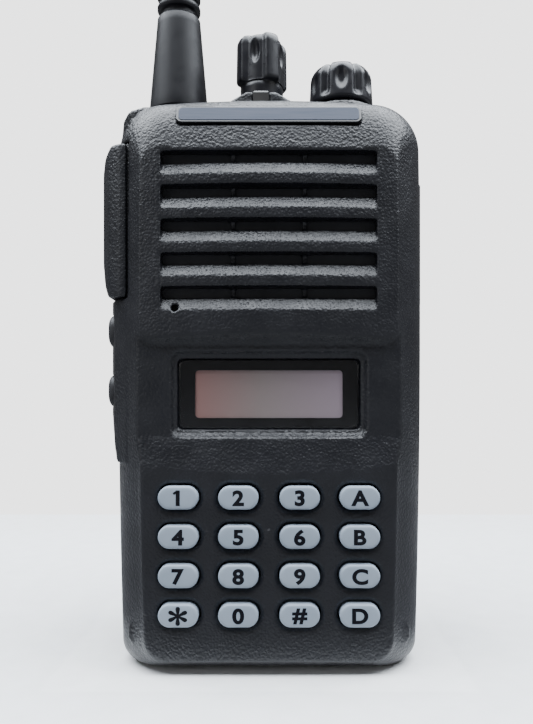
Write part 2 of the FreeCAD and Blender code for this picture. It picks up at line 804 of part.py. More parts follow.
# openings in the top for the two controls, the antenna and the lamp
top_holes = []
for name, x, bore in (
    ("channel", "channel_x", "bush_radius + 0.3"),
    ("volume", "volume_x", "bush_radius + 0.3"),
    ("antenna", "antenna_x", "jack_radius + 0.3"),
):
    top_holes.append(rod(f"{name}_hole", bore, "14.0", (x, "-control_depth", "case_height - 8.0")))
for name, x in (("channel", "channel_x"), ("volume", "volume_x")):
    top_holes.append(
        rod(f"{name}_nut_recess", "nut_radius + fit", "4.0",
            (x, "-control_depth", "case_height + boss_height - 0.1 - nut_thick"))
    )
top_holes.append(
    rod("antenna_seat", "jack_radius + 1.9", "9.0", ("antenna_x", "-control_depth", "case_height - 12.3"))
)
lamp_hole = block(
    "lamp_hole", ("channel_x - 1.6", "channel_x + 1.6"),
    ("-(control_depth + 9.0)", "-(control_depth + 6.0)"), ("case_height - 0.3", "case_height + 4.0"),
)

# the left wells
bar_well = block(
    "bar_well", ("-(case_width / 2 + 6.0)", "-(case_width / 2 - 3.2)"),
    ("-(front_depth - 3.7)", "-1.9"),
    ("case_height - ptt_drop - ptt_length - fit", "case_height - ptt_drop + fit"),
)
SIDE_Y = "-(front_depth - 11.2)"


def side_block(name, z, margin, out, deep):
    """An upright oval block on the left side, reaching from out to deep along X."""
    return stadium(
        name, f"side_key_length + 2 * ({margin})", f"side_key_depth + 2 * ({margin})", f"({deep}) - ({out})",
        (out, SIDE_Y, z), "x",
    )


side_wells = [
    side_block(f"side_well_{n}", z, "fit", "-(case_width / 2 + 5.0)", "-(case_width / 2 - 2.2)")
    for n, z in enumerate(("side_key_high", "side_key_low"))
]
BAR_MIDDLE = "case_height - ptt_drop - ptt_length / 2"
plunger_holes = [
    rod(f"plunger_hole_{n}", "1.3", "6.0", (LEFT_IN + " - 4.5", SIDE_Y, z), "x")
    for n, z in enumerate((BAR_MIDDLE, "side_key_high", "side_key_low"))
]

# the right side: a shallow recess for the rubber cover and a window for the contacts
cover_recess = block(
    "cover_recess", ("case_width / 2 - 1.2", "case_width / 2 + 3.0"), ("-9.2", "1.9"),
    ("case_height - 39.3", "case_height - 14.7"),
)
contact_hole = block(
    "contact_hole", ("case_width / 2 - 6.0", "case_width / 2"), ("-8.1", "-1.4"),
    ("case_height - 37.2", "case_height - 16.8"),
)
notch = block(
    "notch", ("-5.6", "5.6"), ("pack_split + 3.2", "pack_split + 7.2"),
    ("case_height - hood_height - 1.0", "case_height - hood_height + 1.9"),
)
PLANES["brow"] = Rotation(Vector(1, 0, 0), 90 - size("badge_tilt"))
NORMAL["brow"] = "y"


def badge_block(name, margin, low, high):
    """A round-cornered plate lying on the sloping brow of the case, between two heights above it."""
    line = rounded(
        name + "_line", "brow", "-(front_depth - 1.55)",
        f"-(badge_width / 2 + {margin})", f"badge_width / 2 + {margin}",
        f"-(badge_height / 2 + {margin})", f"badge_height / 2 + {margin}", f"0.9 + {margin}",
    )
    tie(line, "Placement.Base.z", "case_height - badge_drop")
    return push(name, line, high, low)


badge_pocket = badge_block("badge_pocket", "0.1", "badge_thick - 0.4", "3.0")
case_solid = fuse(
    "case_solid", faced, shell_ring, hood, pod, shoulder,
    channel_boss, volume_boss, antenna_boss, mound, *nubs,
)
case_rooms = cut(
    "case_rooms", case_solid, room, hood_room, key_room, window_room, speaker_room, dish, lens_pocket,
    window_hole, bar_well, lamp_hole, cover_recess, contact_hole, notch, mic_hole, badge_pocket,
    *side_wells, *plunger_holes, *top_holes, *louvres, *key_openings,
)
PLATE_BACK = "split_depth - 0.2"
PLATE_FRONT = "split_depth - 2.8"
SCREW_SPOTS = (
    ("-(case_width / 2 - 5.4)", "7.0"),
    ("case_width / 2 - 5.4", "7.0"),
    ("-(case_width / 2 - 9.6)", "case_height - 16.0"),
    ("case_width / 2 - 9.6", "case_height - 16.0"),
)
posts = [
    cut(
        f"post_{n}",
        rod(f"post_round_{n}", "screw_radius + 1.5", "front_depth + split_depth - 6.4",
            (x, "-(front_depth - 3.4)", z), "y"),
        rod(f"post_bore_{n}", "screw_radius", "7.0", (x, f"{PLATE_FRONT} - 6.5", z), "y"),
    )
    for n, (x, z) in enumerate(SCREW_SPOTS)
]
node("front_case", fuse("front_case", case_rooms, *ribs, *posts))

# ---------------------------------------------------------------- badge, window and display

node("name_badge", badge_block("name_badge", "0.0", "badge_thick - 0.45", "0.4"))
node(
    "window_lens",
    push(
        "window_lens",
        rounded(
            "lens_line", "front", "-(front_depth - waist_step - 1.0 - lens_thick - 0.1)",
            "-window_width / 2", "window_width / 2",
            "window_middle - window_height / 2", "window_middle + window_height / 2", "0.8",
        ),
        "lens_thick",
    ),
)
GLASS_FRONT = "-(front_depth - window_wall - 0.2)"
GLASS_BACK = "-(front_depth - window_wall - 2.4)"
node(
    "lcd_module",
    block(
        "lcd_module", ("-(view_width / 2 + 1.9)", "view_width / 2 + 1.9"), (GLASS_FRONT, GLASS_BACK),
        ("window_middle - view_height / 2 - 2.4", "window_middle + view_height / 2 + 2.4"),
    ),
)
frame_rim = block(
    "frame_rim", ("-(view_width / 2 + 2.8)", "view_width / 2 + 2.8"),
    (f"{GLASS_BACK} - 1.6", f"{GLASS_BACK} + 1.6"),
    ("window_middle - view_height / 2 - 3.4", "window_middle + view_height / 2 + 3.4"),
)
frame_seat = block(
    "frame_seat", ("-(view_width / 2 + 2.0)", "view_width / 2 + 2.0"),
    (f"{GLASS_BACK} - 2.0", f"{GLASS_BACK} + 0.1"),
    ("window_middle - view_height / 2 - 2.5", "window_middle + view_height / 2 + 2.5"),
)
node("lcd_frame", cut("lcd_frame", frame_rim, frame_seat))

# ---------------------------------------------------------------- speaker and microphone

SPEAKER_Z = "case_height - speaker_drop"
SPEAKER_FRONT = "-(front_depth - speaker_wall - 0.6)"
speaker = []
for name, corners in (
    (
        "speaker_frame",
        (
            ("0", "speaker_thick"),
            ("0", "speaker_thick - 2.6"),
            ("speaker_radius / 2", "speaker_thick - 2.6"),
            ("speaker_radius - 2.4", "1.0"),
            ("speaker_radius - 2.4", "0"),
            ("speaker_radius", "0"),
            ("speaker_radius", "1.6"),
            ("speaker_radius * 0.62", "speaker_thick - 1.8"),
            ("speaker_radius * 0.62", "speaker_thick"),
        ),
    ),
    (
        "speaker_cone",
        (
            ("0", "1.0"),
            ("speaker_radius * 0.3", "1.8"),
            ("speaker_radius - 4.4", "0.5"),
            ("speaker_radius - 2.7", "0.5"),
            ("speaker_radius - 2.7", "0.8"),
            ("speaker_radius - 4.4", "0.8"),
            ("speaker_radius * 0.3", "2.1"),
            ("0", "1.3"),
        ),
    ),
):
    body = turned(name, corners, ("0", SPEAKER_FRONT, SPEAKER_Z))
    body.Placement = FreeCAD.Placement(body.Placement.Base, ALONG["y"])
    speaker.append(node(name, body))
node(
    "speaker_mesh",
    block(
        "speaker_mesh", ("-(case_width / 2 - 9.4)", "case_width / 2 - 9.4"),
        ("-(front_depth - speaker_wall - 0.05)", "-(front_depth - speaker_wall - 0.35)"),
        ("case_height - slot_drop - 4 * slot_pitch - slot_open - 2.2", "case_height - slot_drop + 1.0"),
    ),
)
mic_can = rod(
    "mic_can", "2.0", "1.5", ("-17.2", "-(front_depth - speaker_wall - 0.6)", "case_height - 41.9"), "y"
)
mic_tail = block(
    "mic_tail", ("-18.0", "-16.4"),
    ("-(front_depth - speaker_wall - 2.0)", "-(front_depth - speaker_wall - 2.6)"),
    ("case_height - 42.7", "case_height - 41.1"),
)
node("microphone", fuse("microphone", mic_can, mic_tail))

# ---------------------------------------------------------------- keypad

KEY_BACK = "-(front_depth - key_wall - 0.8)"
MAT_FRONT = "-(front_depth - 4.3)"
MAT_BACK = "-(front_depth - 4.9)"
DOME_BACK = "-(front_depth - 6.1)"
for row, names in enumerate(KEYS):
    for column, name in enumerate(names):
        x, z = COLUMNS[column], ROWS[row]
        cap = key_block(f"{name}_cap", x, z, "0.0", KEY_BACK, "key_proud + key_wall + 0.8")
        flange = key_block(f"{name}_flange", x, z, "key_flange", KEY_BACK, "0.6")
        stem = rod(f"{name}_stem", "stem_radius", "1.5", (x, KEY_BACK, z), "y")
        crown = soften(
            f"{name}_crown", cap, "0.5",
            lambda edge: all(v.Y < -size("front_depth + key_proud") + 0.01 for v in edge.Vertexes),
        )
        node(name, fuse(name, crown, flange, stem))

mat_sheet = block(
    "mat_sheet", ("-(case_width / 2 - 8.0)", "case_width / 2 - 8.0"), (MAT_FRONT, MAT_BACK),
    ("floor_wall + 1.8", "waist_low - 1.0"),
)
mat_holes = [
    rod(f"mat_hole_{row}_{column}", "stem_radius + fit", "2.0", (x, "-(front_depth - 3.6)", z), "y")
    for row, z in enumerate(ROWS)
    for column, x in enumerate(COLUMNS)
]
node("keypad_mat", cut("keypad_mat", mat_sheet, *mat_holes))
dome_film = block(
    "dome_film", ("-(case_width / 2 - 8.4)", "case_width / 2 - 8.4"), (f"{DOME_BACK} - 0.15", DOME_BACK),
    ("floor_wall + 2.2", "waist_low - 1.4"),
)
domes = [
    taper(f"dome_{row}_{column}", "2.0", "0.8", "0.2", (x, f"{DOME_BACK} - 0.15", z), "-y")
    for row, z in enumerate(ROWS)
    for column, x in enumerate(COLUMNS)
]
node("dome_sheet", fuse("dome_sheet", dome_film, *domes))
node(
    "key_board",
    block(
        "key_board", ("-(case_width / 2 - 8.2)", "case_width / 2 - 8.2"), (DOME_BACK, f"{DOME_BACK} + 1.0"),
        ("floor_wall + 2.0", "waist_low - 0.6"),
    ),
)

# ---------------------------------------------------------------- boards and chassis

BOARD_BACK = "split_depth - 6.4"
board_sheet = polygon(
    "board_sheet", "front", BOARD_BACK,
    (
        ("-(case_width / 2 - 9.2)", "5.0"),
        ("case_width / 2 - 9.2", "5.0"),
        ("case_width / 2 - 9.2", "12.0"),
        ("case_width / 2 - 4.9", "12.0"),
        ("case_width / 2 - 4.9", "case_height - 21.0"),
        ("-(case_width / 2 - 6.3)", "case_height - 21.0"),
        ("-(case_width / 2 - 6.3)", "12.0"),
        ("-(case_width / 2 - 9.2)", "12.0"),
    ),
)
node("main_board", push("main_board", board_sheet, "board_thick"))
cans = [
    block(f"can_{n}", (x0, x1), (BOARD_BACK, f"{BOARD_BACK} + 2.6"), (z0, z1))
    for n, (x0, x1, z0, z1) in enumerate(
        (
            ("-18.0", "18.0", "16.0", "40.0"),
            ("-18.0", "-1.0", "40.9", "case_height - 44.0"),
            ("0.0", "18.0", "40.9", "case_height - 44.0"),
        )
    )
]
can_strip = block(
    "can_strip", ("-17.0", "17.0"), (BOARD_BACK, f"{BOARD_BACK} + 0.2"), ("17.0", "case_height - 45.0")
)
node("shield_cans", fuse("shield_cans", *cans, can_strip))


def plate_outline(name, inset, face):
    """The outline of the chassis plate, inside the case walls by an inset."""
    x, z = f"(case_width / 2 - wall - ({inset}))", f"({inset})"
    left, right = f"case_width / 2 - 5.6 - {z}", f"case_width / 2 - 4.4 - {z}"
    return polygon(
        name, "front", face,
        (
            (f"-{x}", f"floor_wall + {z}"),
            (x, f"floor_wall + {z}"),
            (x, f"waist_low - 4.8 - {z}"),
            (right, f"waist_low + 3.4 - {z}"),
            (right, f"case_height - hood_height + 1.8 - {z}"),
            (f"-({left})", f"case_height - hood_height + 1.8 - {z}"),
            (f"-({left})", f"waist_low + 3.4 - {z}"),
            (f"-{x}", f"waist_low - 4.8 - {z}"),
        ),
    )


plate = push("plate", plate_outline("plate_line", "0.3", PLATE_BACK), "2.6")
groove = cut(
    "groove",
    push("groove_outer", plate_outline("groove_outer_line", "0.0", "split_depth - 0.8"), "1.2"),
    push("groove_inner", plate_outline("groove_inner_line", "1.3", "split_depth - 0.8"), "1.2"),
)
plate_holes = []
for n, (x, z) in enumerate(SCREW_SPOTS):
    plate_holes.append(rod(f"plate_hole_{n}", "screw_radius + 0.2", "6.0", (x, "split_depth - 4.0", z), "y"))
    plate_holes.append(rod(f"plate_sink_{n}", "screw_radius + 1.3", "3.0", (x, "split_depth - 1.5", z), "y"))
heat_pad = block(
    "heat_pad", ("-12.0", "12.0"), ("split_depth - 3.4", "split_depth - 2.6"), ("20.0", "40.0")
)
node("rear_chassis", fuse("rear_chassis", cut("plate_bare", plate, groove, *plate_holes), heat_pad))
node(
    "main_seal",
    cut(
        "main_seal",
        push("seal_outer", plate_outline("seal_outer_line", "0.05", "split_depth - 0.85"), "1.1"),
        push("seal_inner", plate_outline("seal_inner_line", "1.25", "split_depth - 0.85"), "1.1"),
    ),
)
screws = []
for n, (x, z) in enumerate(SCREW_SPOTS):
    screws.append(rod(f"screw_head_{n}", "screw_radius + 0.9", "1.1", (x, "split_depth - 1.45", z), "y"))
    screws.append(rod(f"screw_shank_{n}", "screw_radius - 0.06", "4.8", (x, "split_depth - 6.2", z), "y"))
node("chassis_screws", fuse("chassis_screws", *screws))

# ---------------------------------------------------------------- controls on the top

AXIS_Y = "-control_depth"
SWITCH_TOP = "case_height - 3.6"
NUT_FOOT = "case_height + boss_height - nut_thick"
KNOB_FOOT = "case_height + boss_height + knob_lift"
SHAFT_LENGTH = "boss_height + knob_lift + 3.6"


def control(prefix, label, x, half, depth):
    """The fixed body of a rotary control: a square can under the top and a round bushing through it."""
    can = block(
        f"{prefix}_can", (f"{x} - {half}", f"{x} + {half}"), (f"{AXIS_Y} - 4.6", f"{AXIS_Y} + 5.4"),
        (f"{SWITCH_TOP} - {depth}", SWITCH_TOP),
    )
    bush = rod(
        f"{prefix}_bush", "bush_radius", "boss_height + 3.5", (x, AXIS_Y, SWITCH_TOP)
    )
    bore = rod(
        f"{prefix}_bore", "shaft_radius + running", "9.0", (x, AXIS_Y, f"{SWITCH_TOP} - 3.0")
    )
    return node(label, cut(label, fuse(f"{prefix}_solid", can, bush), bore))


def shaft(label, x, reach):
    """A turned shaft with a flat near its top, from inside the can up into the knob."""
    body = turned(
        label,
        (
            ("0", "0"),
            ("shaft_radius", "0"),
            ("shaft_radius", f"{SHAFT_LENGTH} + 2.8 + {reach} - 0.3"),
            ("shaft_radius - 0.3", f"{SHAFT_LENGTH} + 2.8 + {reach}"),
            ("0", f"{SHAFT_LENGTH} + 2.8 + {reach}"),
        ),
        (x, AXIS_Y, f"{SWITCH_TOP} - 2.8"),
    )
    return node(label, body)


control("channel", "channel_switch", "channel_x", "5.2", "6.6")
control("volume", "volume_control", "volume_x", "5.0", "6.6")
shaft("channel_shaft", "channel_x", "channel_knob_height * 0.6")
shaft("volume_shaft", "volume_x", "volume_knob_height * 0.65")

# the channel knob: a textured collar under four rounded lobes
channel_knob = turned(
    "channel_knob",
    (
        ("shaft_radius", "0"),
        ("channel_knob_radius - 1.1", "0"),
        ("channel_knob_radius - 0.8", "channel_knob_height * 0.26"),
        ("channel_knob_radius - 0.8", "channel_knob_height * 0.34"),
        ("channel_knob_radius", "channel_knob_height * 0.4"),
        ("channel_knob_radius", "channel_knob_height - 1.6"),
        ("channel_knob_radius - 0.5", "channel_knob_height - 0.6"),
        ("channel_knob_radius - 1.6", "channel_knob_height"),
        ("0", "channel_knob_height"),
        ("0", "channel_knob_height * 0.6 + 0.1"),
        ("shaft_radius", "channel_knob_height * 0.6 + 0.1"),
    ),
    ("channel_x", AXIS_Y, KNOB_FOOT),
)
body_cut_round(
    channel_knob, "channel_flute", "channel_knob_radius * 0.62", "channel_knob_radius * 1.42", "0",
    "channel_knob_height * 0.36", "channel_knob_height", 4, -108.0,
)
node("channel_knob", channel_knob)

# the volume knob: a skirt under six petals
volume_knob = turned(
    "volume_knob",
    (
        ("shaft_radius", "0"),
        ("volume_knob_radius - 1.0", "0"),
        ("volume_knob_radius - 0.9", "volume_knob_height * 0.2"),
        ("volume_knob_radius", "volume_knob_height * 0.3"),
        ("volume_knob_radius", "volume_knob_height - 2.0"),
        ("volume_knob_radius - 0.5", "volume_knob_height - 0.8"),
        ("volume_knob_radius - 1.6", "volume_knob_height - 0.2"),
        ("volume_knob_radius * 0.5", "volume_knob_height"),
        ("0", "volume_knob_height"),
        ("0", "volume_knob_height * 0.65 + 0.1"),
        ("shaft_radius", "volume_knob_height * 0.65 + 0.1"),
    ),
    ("volume_x", AXIS_Y, KNOB_FOOT),
)
body_cut_round(
    volume_knob, "volume_flute", "volume_knob_radius * 0.2", "volume_knob_radius * 1.06", "0",
    "volume_knob_height * 0.25", "volume_knob_height", 6, -124.0,
)
node("volume_knob", volume_knob)

nuts = []
for prefix, x in (("channel", "channel_x"), ("volume", "volume_x")):
    nuts.append(
        cut(
            f"{prefix}_nut",
            rod(f"{prefix}_nut_round", "nut_radius", "nut_thick", (x, AXIS_Y, NUT_FOOT)),
            rod(
                f"{prefix}_nut_bore", "bush_radius + running", "nut_thick + 2.0",
                (x, AXIS_Y, f"{NUT_FOOT} - 1.0"),
            ),
        )
    )
node("control_nuts", fuse("control_nuts", *nuts))
lamp = block(
    "lamp", ("channel_x - 1.5", "channel_x + 1.5"), ("-(control_depth + 8.9)", "-(control_depth + 6.1)"),
    ("case_height - 0.3", "case_height + 2.2"),
)
node(
    "led_lens",
    soften(
        "led_lens", lamp, "0.7",
        lambda edge: min(v.Z for v in edge.Vertexes) > size("case_height + 2.1"),
    ),
)

# ---------------------------------------------------------------- antenna

ROOT = ("antenna_x", AXIS_Y, "case_height + 0.8")
node(
    "antenna_jack",
    turned(
        "antenna_jack",
        (
            ("0", "-9.0"),
            ("2.0", "-9.0"),
            ("2.0", "-6.2"),
            ("jack_radius + 1.6", "-6.2"),
            ("jack_radius + 1.6", "-4.4"),
            ("jack_radius", "-4.4"),
            ("jack_radius", "4.2"),
            ("1.0", "4.2"),
            ("1.0", "-2.0"),
            ("0", "-2.0"),
        ),
        ROOT,
    ),
)
node(
    "antenna_ferrule",
    turned(
        "antenna_ferrule",
        (
            ("jack_radius + running", "0.1"),
            ("plug_radius", "0.1"),
            ("plug_radius", "11.2"),
            ("0", "11.2"),
            ("0", "-1.0"),
            ("0.7", "-1.0"),
            ("0.7", "6.4"),
            ("jack_radius + running", "6.4"),
        ),
        ROOT,
    ),
)
WHIP_TOP = "case_height + antenna_length - (case_height + 0.8)"
whip_corners = [
    ("plug_radius", "0"),
    ("boot_radius + 0.1", "0"),
    ("boot_radius", "3.0"),
    ("ring_radius + 0.5", "boot_height * 0.55"),
    ("ring_radius + 0.1", "boot_height - 0.8"),
    ("ring_radius - 0.2", "boot_height"),
]
for n in range(int(SIZES["ring_count"])):
    foot = f"boot_height + {n} * ring_pitch"
    whip_corners.extend(
        (
            ("whip_radius", f"{foot} + 0.25"),
            ("whip_radius", f"{foot} + ring_pitch * 0.4"),
            ("ring_radius - 0.1", f"{foot} + ring_pitch * 0.5"),
            ("ring_radius - 0.1", f"{foot} + ring_pitch * 0.98"),
        )
    )
whip_corners.extend(
    (
        ("whip_radius", "boot_height + ring_count * ring_pitch + 0.3"),
        ("tip_radius", f"{WHIP_TOP} - 1.6"),
        ("tip_radius - 0.5", f"{WHIP_TOP} - 0.5"),
        ("tip_radius - 1.6", WHIP_TOP),
        ("0", WHIP_TOP),
        ("0", "11.2"),
        ("plug_radius", "11.2"),
    )
)
node("antenna_whip", turned("antenna_whip", whip_corners, ROOT))

# ---------------------------------------------------------------- push-to-talk bar and side keys

OUT = "-(case_width / 2 + ptt_proud)"
BAR_LOW = "case_height - ptt_drop - ptt_length"
bar_front = polygon(
    "bar_front", "front", "0",
    (
        ("-(case_width / 2 - 2.4)", BAR_LOW),
        (f"{OUT} + 1.9", BAR_LOW),
        (f"{OUT} + 1.0", f"{BAR_LOW} + 2.2"),
        (OUT, f"{BAR_LOW} + ptt_length * 0.33"),
        (f"{OUT} + 0.2", f"{BAR_LOW} + ptt_length * 0.8"),
        (f"{OUT} + 1.0", f"{BAR_LOW} + ptt_length - 2.0"),
        (f"{OUT} + 2.8", f"{BAR_LOW} + ptt_length"),
        ("-(case_width / 2 - 2.4)", f"{BAR_LOW} + ptt_length"),
    ),
)
bar_plan = polygon(
    "bar_plan", "plan", "0",
    (
        ("-(case_width / 2 - 2.4)", "-(front_depth - 4.0)"),
        ("-(case_width / 2 - 1.0)", "-(front_depth - 4.0)"),
        ("-(case_width / 2 + 1.2)", "-(front_depth - 5.2)"),
        (f"{OUT} + 0.5", "-(front_depth - 7.6)"),
        (OUT, "-(front_depth - 10.4)"),
        (OUT, "-4.6"),
        (f"{OUT} + 0.7", "-3.0"),
        (f"{OUT} + 2.0", "-2.2"),
        ("-(case_width / 2 - 2.4)", "-2.2"),
    ),
)
node(
    "ptt_button",
    common(
        "ptt_button",
        push("bar_face", bar_front, "front_depth"),
        push("bar_column", bar_plan, "case_height"),
    ),
)
SIDE_KEY_FACE = "case_width / 2 + pod_proud + side_key_proud"
for name, z in (("side_key_upper", "side_key_high"), ("side_key_lower", "side_key_low")):
    head = side_block(f"{name}_head", z, "0.0", f"-({SIDE_KEY_FACE})", "-(case_width / 2 - 1.2)")
    rounded_head = soften(
        f"{name}_soft", head, "0.6",
        lambda edge: all(v.X < 0.01 - size(SIDE_KEY_FACE) for v in edge.Vertexes),
    )
    stem = rod(f"{name}_stem", "1.0", "0.4", ("-(case_width / 2 - 1.2)", SIDE_Y, z), "x")
    node(name, fuse(name, rounded_head, stem))

switch_bodies = []
for n, (z, tip) in enumerate(
    ((BAR_MIDDLE, "-(case_width / 2 - 3.1)"), ("side_key_high", "-(case_width / 2 - 2.5)"),
     ("side_key_low", "-(case_width / 2 - 2.5)"))
):
    switch_bodies.append(
        block(
            f"switch_{n}", ("-(case_width / 2 - 5.8)", "-(case_width / 2 - 8.2)"),
            (f"{SIDE_Y} - 2.4", f"{SIDE_Y} + 2.0"), (f"{z} - 3.0", f"{z} + 3.0"),
        )
    )
    switch_bodies.append(
        rod(f"switch_tip_{n}", "1.0", f"-(case_width / 2 - 6.0) - ({tip})", (tip, SIDE_Y, z), "x")
    )
switch_strip = block(
    "switch_strip", ("-(case_width / 2 - 8.0)", "-(case_width / 2 - 8.5)"),
    (f"{SIDE_Y} - 2.4", f"{SIDE_Y} + 2.0"), ("side_key_low - 4.0", f"{BAR_MIDDLE} + 3.2"),
)
node("side_switches", fuse("side_switches", switch_strip, *switch_bodies))

# ---------------------------------------------------------------- right side

FLAP_LOW = "case_height - 39.0"
FLAP_HIGH = "case_height - 15.0"
HINGE_X = "case_width / 2 - 0.2"
flap = block(
    "flap", ("case_width / 2 - 1.0", "case_width / 2 + 0.6"), ("-8.8", "0.6"), (FLAP_LOW, FLAP_HIGH)
)
flap_soft = soften("flap_soft", flap, "0.5", lambda edge: max(v.Y for v in edge.Vertexes) < -8.7)
flap_roll = rod("flap_roll", "0.8", f"{FLAP_HIGH} - ({FLAP_LOW})", (HINGE_X, "0.6", FLAP_LOW))
node("jack_cover", fuse("jack_cover", flap_soft, flap_roll))
contact_block = block(
    "contact_block", ("case_width / 2 - 4.6", "case_width / 2 - 1.4"), ("-7.9", "-1.6"),
    ("case_height - 37.0", "case_height - 17.0"),
)
sockets = [
    rod(f"socket_{n}", radius, "4.0", ("case_width / 2 - 3.8", "-4.75", z), "x")
    for n, (radius, z) in enumerate((("1.75", "case_height - 20.4"), ("1.3", "case_height - 25.6")))
]
pads = [
    rod(f"pad_{n}", "0.8", "0.6", ("case_width / 2 - 1.8", y, f"case_height - {z}"), "x")
    for n, (y, z) in enumerate((("-6.1", "30.0"), ("-3.4", "30.0"), ("-6.1", "33.4"), ("-3.4", "33.4")))
]
node("accessory_contacts", cut("accessory_contacts", contact_block, *sockets, *pads))

# ---------------------------------------------------------------- battery pack

PACK_HALF = "(case_width / 2 - 0.2)"
PACK_FRONT = "split_depth + fit"
PACK_BACK = "split_depth + fit + pack_depth"
PACK_SPLIT = "split_depth + fit + pack_split + 4.7"
pack_side = polygon(
    "pack_side", "side", f"-({PACK_HALF} + 1.0)",
    (
        (PACK_FRONT, "0"),
        (f"{PACK_BACK} - 1.2", "0"),
        (PACK_BACK, "1.2"),
        (PACK_BACK, "pack_height - 8.5"),
        (f"{PACK_BACK} - 6.3", "pack_height"),
        (PACK_FRONT, "pack_height"),
    ),
)
pack_plan = rounded(
    "pack_plan", "plan", "-1.0", f"-{PACK_HALF}", PACK_HALF, "-10.0", PACK_BACK, "pack_corner"
)
pack_face = rounded(
    "pack_face", "front", "pack_depth + split_depth + 3.0",
    f"-{PACK_HALF}", PACK_HALF, "0", "pack_height + 8.0",
    "foot_radius",
)
pack_block = common(
    "pack_block",
    common(
        "pack_column",
        push("pack_wedge", pack_side, "case_width + 2.0"),
        push("pack_round", pack_plan, "case_height"),
    ),
    push("pack_front_view", pack_face, "pack_depth + split_depth + 3.0"),
)
cell_room = block(
    "cell_room", (f"-({PACK_HALF} - pack_wall)", f"{PACK_HALF} - pack_wall"),
    (f"{PACK_FRONT} + pack_wall", f"{PACK_BACK} - 2.1"), ("2.2", "pack_height - 20.4"),
)
latch_room = block(
    "latch_room", ("-8.6", "8.6"), (f"{PACK_FRONT} + 6.8", f"{PACK_BACK} - 1.9"),
    ("pack_height - 19.2", "pack_height - 8.8"),
)
tongue_slot = block(
    "tongue_slot", ("-5.4", "5.4"), (f"{PACK_FRONT} + 6.8", f"{PACK_FRONT} + 10.4"),
    ("pack_height - 10.0", "pack_height + 1.0"),
)
thumb_slot = block(
    "thumb_slot", ("-6.4", "6.4"), (f"{PACK_BACK} - 2.4", f"{PACK_BACK} + 3.0"),
    ("pack_height - 17.2", "pack_height - 9.2"),
)
halves = {}
for label, low, high in (
    ("battery_tray", PACK_FRONT + " - 1.0", PACK_SPLIT),
    ("battery_cover", PACK_SPLIT, PACK_BACK + " + 1.0"),
):
    side_of_split = block(
        f"{label}_side", (f"-({PACK_HALF} + 1.0)", f"{PACK_HALF} + 1.0"), (low, high),
        ("-1.0", "pack_height + 1.0"),
    )
    halves[label] = common(f"{label}_solid", pack_block, side_of_split)
contact_windows = [
    block(
        f"contact_window_{n}", (f"{x} - 1.3", f"{x} + 1.3"), (f"{PACK_FRONT} - 1.0", f"{PACK_FRONT} + 3.0"),
        ("pack_height - 26.0", "pack_height - 21.2"),
    )
    for n, x in enumerate(("-4.5", "0.0", "4.5"))
]
charge_windows = [
    rod(f"charge_window_{n}", "1.6", "4.0", (x, f"{PACK_BACK} - 3.0", "9.0"), "y")
    for n, x in enumerate(("-6.0", "6.0"))
]
clip_lug_holes = [
    rod(f"clip_lug_hole_{n}", "1.2", "6.0", (x, f"{PACK_BACK} - 3.0", "clip_top - 21.0"), "y")
    for n, x in enumerate(("-7.0", "7.0"))
]
node(
    "battery_tray",
    cut("battery_tray", halves["battery_tray"], cell_room, latch_room, tongue_slot, *contact_windows),
)
node(
    "battery_cover",
    cut("battery_cover", halves["battery_cover"], cell_room, latch_room, tongue_slot, thumb_slot,
        *charge_windows, *clip_lug_holes),
)
cell_pair = [
    block(
        f"cell_{n}", (x0, x1), (f"{PACK_FRONT} + pack_wall + 0.9", f"{PACK_BACK} - 2.6"),
        ("3.4", "pack_height - 27.4"),
    )
    for n, (x0, x1) in enumerate(
        ((f"-({PACK_HALF} - pack_wall - 0.6)", "-0.4"), ("0.4", f"{PACK_HALF} - pack_wall - 0.6"))
    )
]
cell_board = block(
    "cell_board", (f"-({PACK_HALF} - pack_wall - 2.0)", f"{PACK_HALF} - pack_wall - 2.0"),
    (f"{PACK_FRONT} + pack_wall + 2.2", f"{PACK_FRONT} + pack_wall + 3.2"),
    ("pack_height - 27.6", "pack_height - 20.8"),
)
node("battery_cells", fuse("battery_cells", cell_board, *cell_pair))
blades = [
    block(
        f"blade_{n}", (f"{x} - 1.1", f"{x} + 1.1"),
        (f"{PACK_FRONT} + 0.2", f"{PACK_FRONT} + pack_wall + 2.1"),
        ("pack_height - 25.6", "pack_height - 21.6"),
    )
    for n, x in enumerate(("-4.5", "0.0", "4.5"))
]
blade_bar = block(
    "blade_bar", ("-6.6", "6.6"), (f"{PACK_FRONT} + pack_wall + 0.2", f"{PACK_FRONT} + pack_wall + 2.1"),
    ("pack_height - 26.6", "pack_height - 20.9"),
)
node("battery_contacts", fuse("battery_contacts", blade_bar, *blades))
LATCH_LOW = "pack_height - 15.0"
latch_plate = block(
    "latch_plate", ("-8.0", "8.0"), (f"{PACK_BACK} - 3.7", f"{PACK_BACK} - 2.2"),
    (LATCH_LOW, "pack_height - 9.4"),
)
latch_neck = block(
    "latch_neck", ("-5.0", "5.0"), (f"{PACK_FRONT} + 7.4", f"{PACK_BACK} - 2.6"),
    ("pack_height - 12.4", "pack_height - 9.4"),
)
latch_tongue = block(
    "latch_tongue", ("-5.0", "5.0"), (f"{PACK_FRONT} + 7.4", f"{PACK_FRONT} + 9.8"),
    ("pack_height - 12.4", "pack_height + 1.8"),
)
latch_pad = block(
    "latch_pad", ("-5.6", "5.6"), (f"{PACK_BACK} - 2.6", f"{PACK_BACK} + 0.9"),
    ("pack_height - 14.2", "pack_height - 9.6"),
)
node("battery_latch", fuse("battery_latch", latch_plate, latch_neck, latch_tongue, latch_pad))
SPRING_FOOT = ("0", f"{PACK_FRONT} + 8.8", "pack_height - 19.2")
node(
    "latch_spring",
    cut(
        "latch_spring",
        rod("spring_sleeve", "1.5", "6.7", SPRING_FOOT),
        rod("spring_bore", "1.0", "8.0", SPRING_FOOT),
    ),
)

# ---------------------------------------------------------------- belt clip

